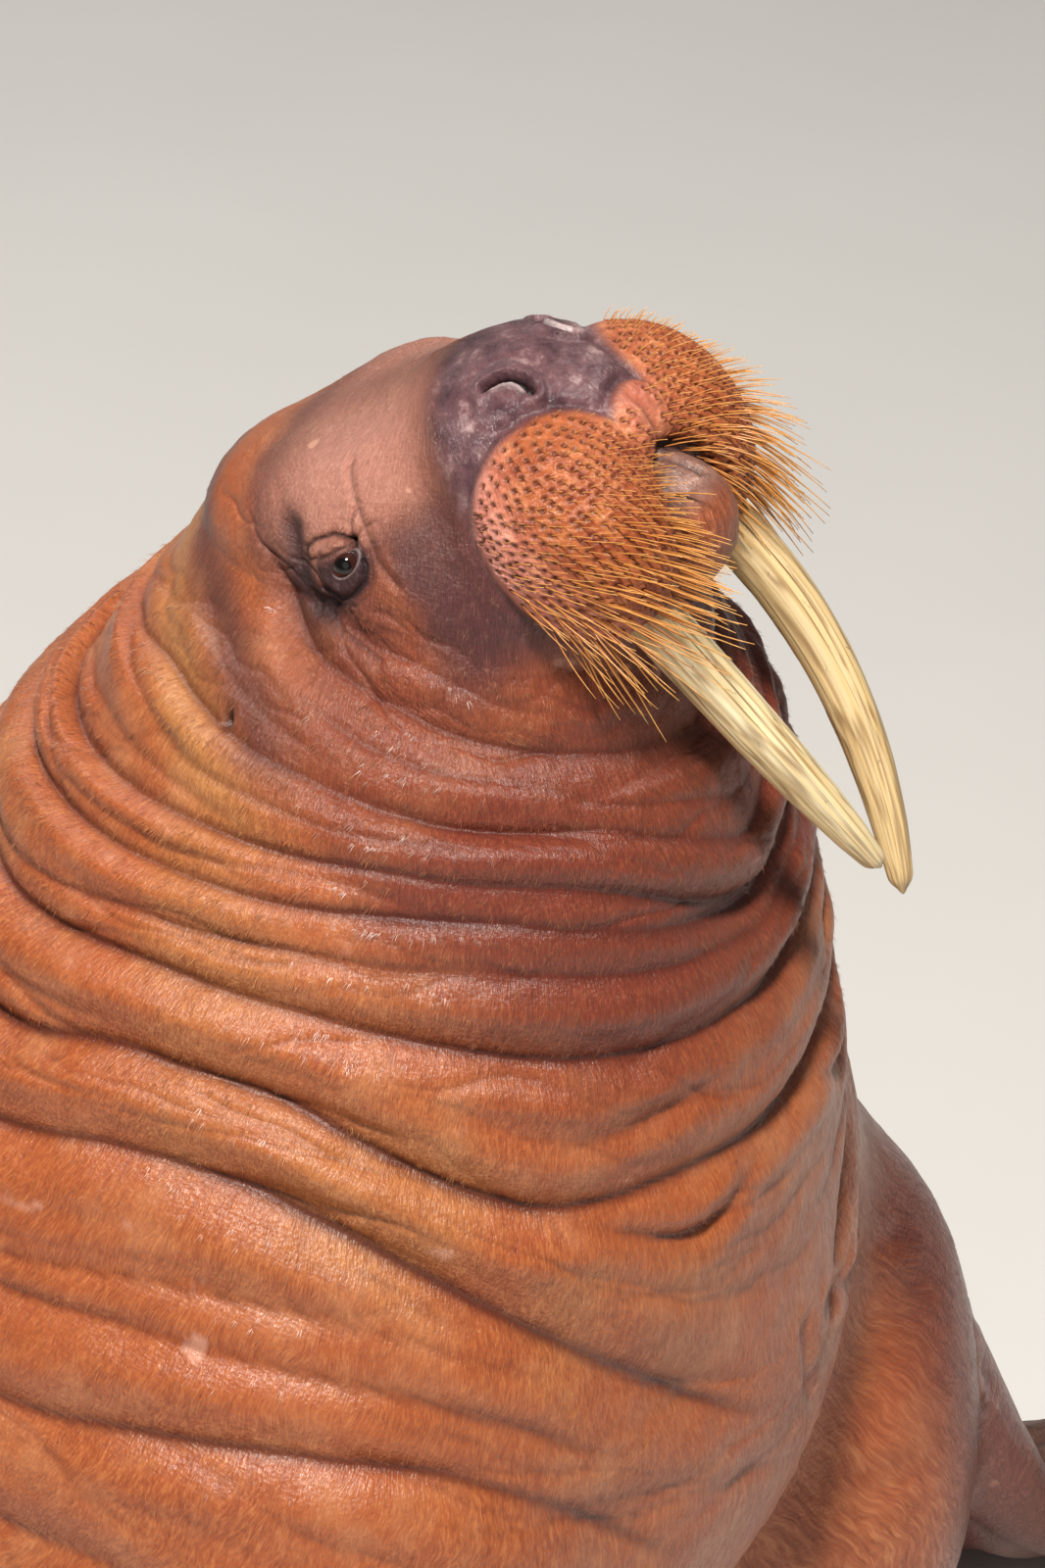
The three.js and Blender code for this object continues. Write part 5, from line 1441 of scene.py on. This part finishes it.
def ivory_material():
    p = Paint("tusk_ivory")
    place, along = p.vector("place"), p.value("along")
    streaks = p.stretched(place, (11.0, 11.0, 1.6), 4.0, 0.65, 0.3)
    colour = p.ramp(p.stretched(place, (3.2, 3.2, 1.3), 4.0, 0.6, 0.4), "ivory")
    colour = p.over(colour, "stain", 1, (0.60, 0.38, 0.15))
    colour = p.mix(p.range(streaks, 0.45, 0.33, 0.0, 0.92), colour, (0.24, 0.125, 0.05))
    colour = p.over(colour, "groove", 0.7, (0.25, 0.13, 0.05))
    cells = {"Vector": p.scaled(place, (5.0, 5.0, 7.0)), "Scale": 1.0}
    cracks = p.node("ShaderNodeTexVoronoi", cells, feature="DISTANCE_TO_EDGE").outputs["Distance"]
    cracked = p.range(p.noise(place, 3.0, 2.0), 0.55, 0.65)
    crack = p.math("MULTIPLY", p.range(cracks, 0.018, 0.006), cracked)
    colour = p.mix(p.math("MULTIPLY", crack, 0.7), colour, (0.10, 0.05, 0.025))
    colour = p.mix(p.range(along, 0.16, 0.0, 0.0, 0.35), colour, (0.46, 0.27, 0.11))
    colour = p.mix(p.range(along, 0.93, 1.0, 0.0, 0.6), colour, (0.40, 0.26, 0.13))
    rough = p.range(streaks, 0.3, 0.7, 0.42, 0.28)
    normal = p.bump(crack, 0.0005, -0.8, p.bump(streaks, 0.0006, 0.5))
    return p.finish(Base_Color=colour, Roughness=rough, Normal=normal, Coat_Weight=0.15,
                    Coat_Roughness=0.2, Subsurface_Weight=0.08, Subsurface_Scale=0.004)


def eye_material():
    p = Paint("eye_wet")
    polar = p.value("polar")
    iris = p.mix(p.noise(p.place(), 900.0, 3.0), (0.014, 0.004, 0.003), (0.045, 0.012, 0.007))
    colour = p.mix(p.range(polar, 0.34, 0.42), (0.003, 0.002, 0.002), iris)
    colour = p.mix(p.range(polar, 0.62, 0.74), colour, (0.030, 0.010, 0.010))
    return p.finish(Base_Color=colour, Roughness=0.12, Specular_IOR_Level=0.2, Coat_Weight=0.6,
                    Coat_Roughness=0.02)


def claw_material():
    p = Paint("claw_horn")
    place = p.place()
    colour = p.ramp(p.noise(place, 260.0, 3.0), "claw")
    colour = p.mix(p.range(p.value("along"), 0.6, 1.0, 0.0, 0.5), colour, (0.24, 0.16, 0.10))
    normal = p.bump(p.noise(place, 500.0, 2.0), 0.0004, 0.5)
    return p.finish(Base_Color=colour, Roughness=0.38, Normal=normal)


def floor_material():
    p = Paint("floor_plain")
    colour = p.mix(p.noise(p.place(), 3.0, 3.0), (0.70, 0.69, 0.67), (0.74, 0.73, 0.71))
    return p.finish(Base_Color=colour, Roughness=0.75)


def dress(things, material, slot, *nodes):
    for thing in things:
        thing.data.materials.clear()
        thing.data.materials.append(material)
        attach(thing, "root")
    if nodes:
        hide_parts(*nodes)


dress([skin], skin_material(), "hide", "head", "lower_jaw", "whisker_pad_left", "whisker_pad_right",
      "neck", "chest", "belly", "rump", "tail", "foreflipper_left", "foreflipper_right",
      "hind_flipper_left", "hind_flipper_right")
dress(coat_objects, coat_material(), "hide")
dress(whisker_objects, whisker_material(), "muzzle")
ivory, eye_paint = ivory_material(), eye_material()
for name in ("left", "right"):
    dress([tusk_objects[name]], ivory, "ivory", f"tusk_{name}")
    dress([eye_objects[name]], eye_paint, "eye", f"eye_{name}")
dress(claw_objects, claw_material(), "flipper")


# Floor, light and camera

def stage_floor():
    far, steps = 14.0, 24
    line = np.linspace(-far, far, steps + 1)
    x, y = np.meshgrid(line, line, indexing="ij")
    points = np.stack([x, y, -0.0005 - 0.004 * (np.hypot(x, y) / far) ** 2], -1).reshape(-1, 3)
    r, c = np.meshgrid(np.arange(steps), np.arange(steps), indexing="ij")
    n = steps + 1
    quads = np.stack([r * n + c, (r + 1) * n + c, (r + 1) * n + c + 1, r * n + c + 1], -1).reshape(-1, 4)
    floor = mesh_object("floor", points, [quads])
    floor.data.materials.append(floor_material())


# Each light: name, place, size, power and colour. The key stands where the photo's sun does.
LIGHTS = [
    ("key", (-2.12, -1.54, 5.64), 0.8, 450, (1.0, 0.955, 0.89)),
    ("fill", (-3.6, -1.6, 2.2), 3.0, 14, (1.0, 0.97, 0.94)),
    ("rim", (2.2, 2.2, 3.4), 2.0, 40, (1.0, 0.98, 0.95)),
]
LIT = (0.0, -0.55, 1.0)  # the place that all of them aim at


def area_light(name, place, size, power, colour):
    light = bpy.data.lights.new(name, "AREA")
    light.shape = "DISK"
    light.size, light.energy, light.color = size, power, colour
    thing = bpy.data.objects.new(name, light)
    thing.location = place
    aim = Vector(LIT) - Vector(place)
    thing.rotation_euler = aim.to_track_quat("-Z", "Y").to_euler()
    bpy.context.scene.collection.objects.link(thing)


# The photo's camera, fitted to landmarks of the head: its turn, rise and distance
CAMERA_TURN, CAMERA_RISE, CAMERA_DISTANCE = -65.0, 33.0, 4800.0
PIXELS_PER_MM = 1.456  # at the reference point
REFERENCE, REFERENCE_PIXEL = np.array([0.0, FOOTPRINT_SHIFT, 1280.0]), (394.0, 469.0)
FRAME_SIZE, SENSOR = (1066, 1600), 36.0


def photo_camera():
    turn_angle, rise = math.radians(CAMERA_TURN), math.radians(CAMERA_RISE)
    level = np.array([math.sin(turn_angle), -math.cos(turn_angle), 0.0])
    back = level * math.cos(rise) + np.array([0.0, 0.0, math.sin(rise)])
    right = unit(np.cross([0, 0, 1.0], back))
    up = np.cross(back, right)
    target = REFERENCE + right * (FRAME_SIZE[0] / 2 - REFERENCE_PIXEL[0]) / PIXELS_PER_MM
    target = target - up * (FRAME_SIZE[1] / 2 - REFERENCE_PIXEL[1]) / PIXELS_PER_MM
    data = bpy.data.cameras.new("photo_camera")
    data.sensor_fit = "AUTO"
    data.sensor_width = data.sensor_height = SENSOR
    data.lens = PIXELS_PER_MM * CAMERA_DISTANCE / max(FRAME_SIZE) * SENSOR
    data.clip_end = 100.0
    camera = bpy.data.objects.new("photo_camera", data)
    camera.location = (target + back * CAMERA_DISTANCE) / 1000.0
    turn_matrix = Matrix((right, up, back)).transposed()
    camera.rotation_euler = turn_matrix.to_euler()
    bpy.context.scene.collection.objects.link(camera)
    bpy.context.scene.camera = camera


stage_floor()
for light in LIGHTS:
    area_light(*light)
world = bpy.data.worlds.new("studio")
world.use_nodes = True
sky = world.node_tree.nodes["Background"].inputs
sky["Color"].default_value = (0.92, 0.87, 0.83, 1.0)
sky["Strength"].default_value = 0.15
bpy.context.scene.world = world
bpy.context.scene.view_settings.view_transform = "Standard"
photo_camera()
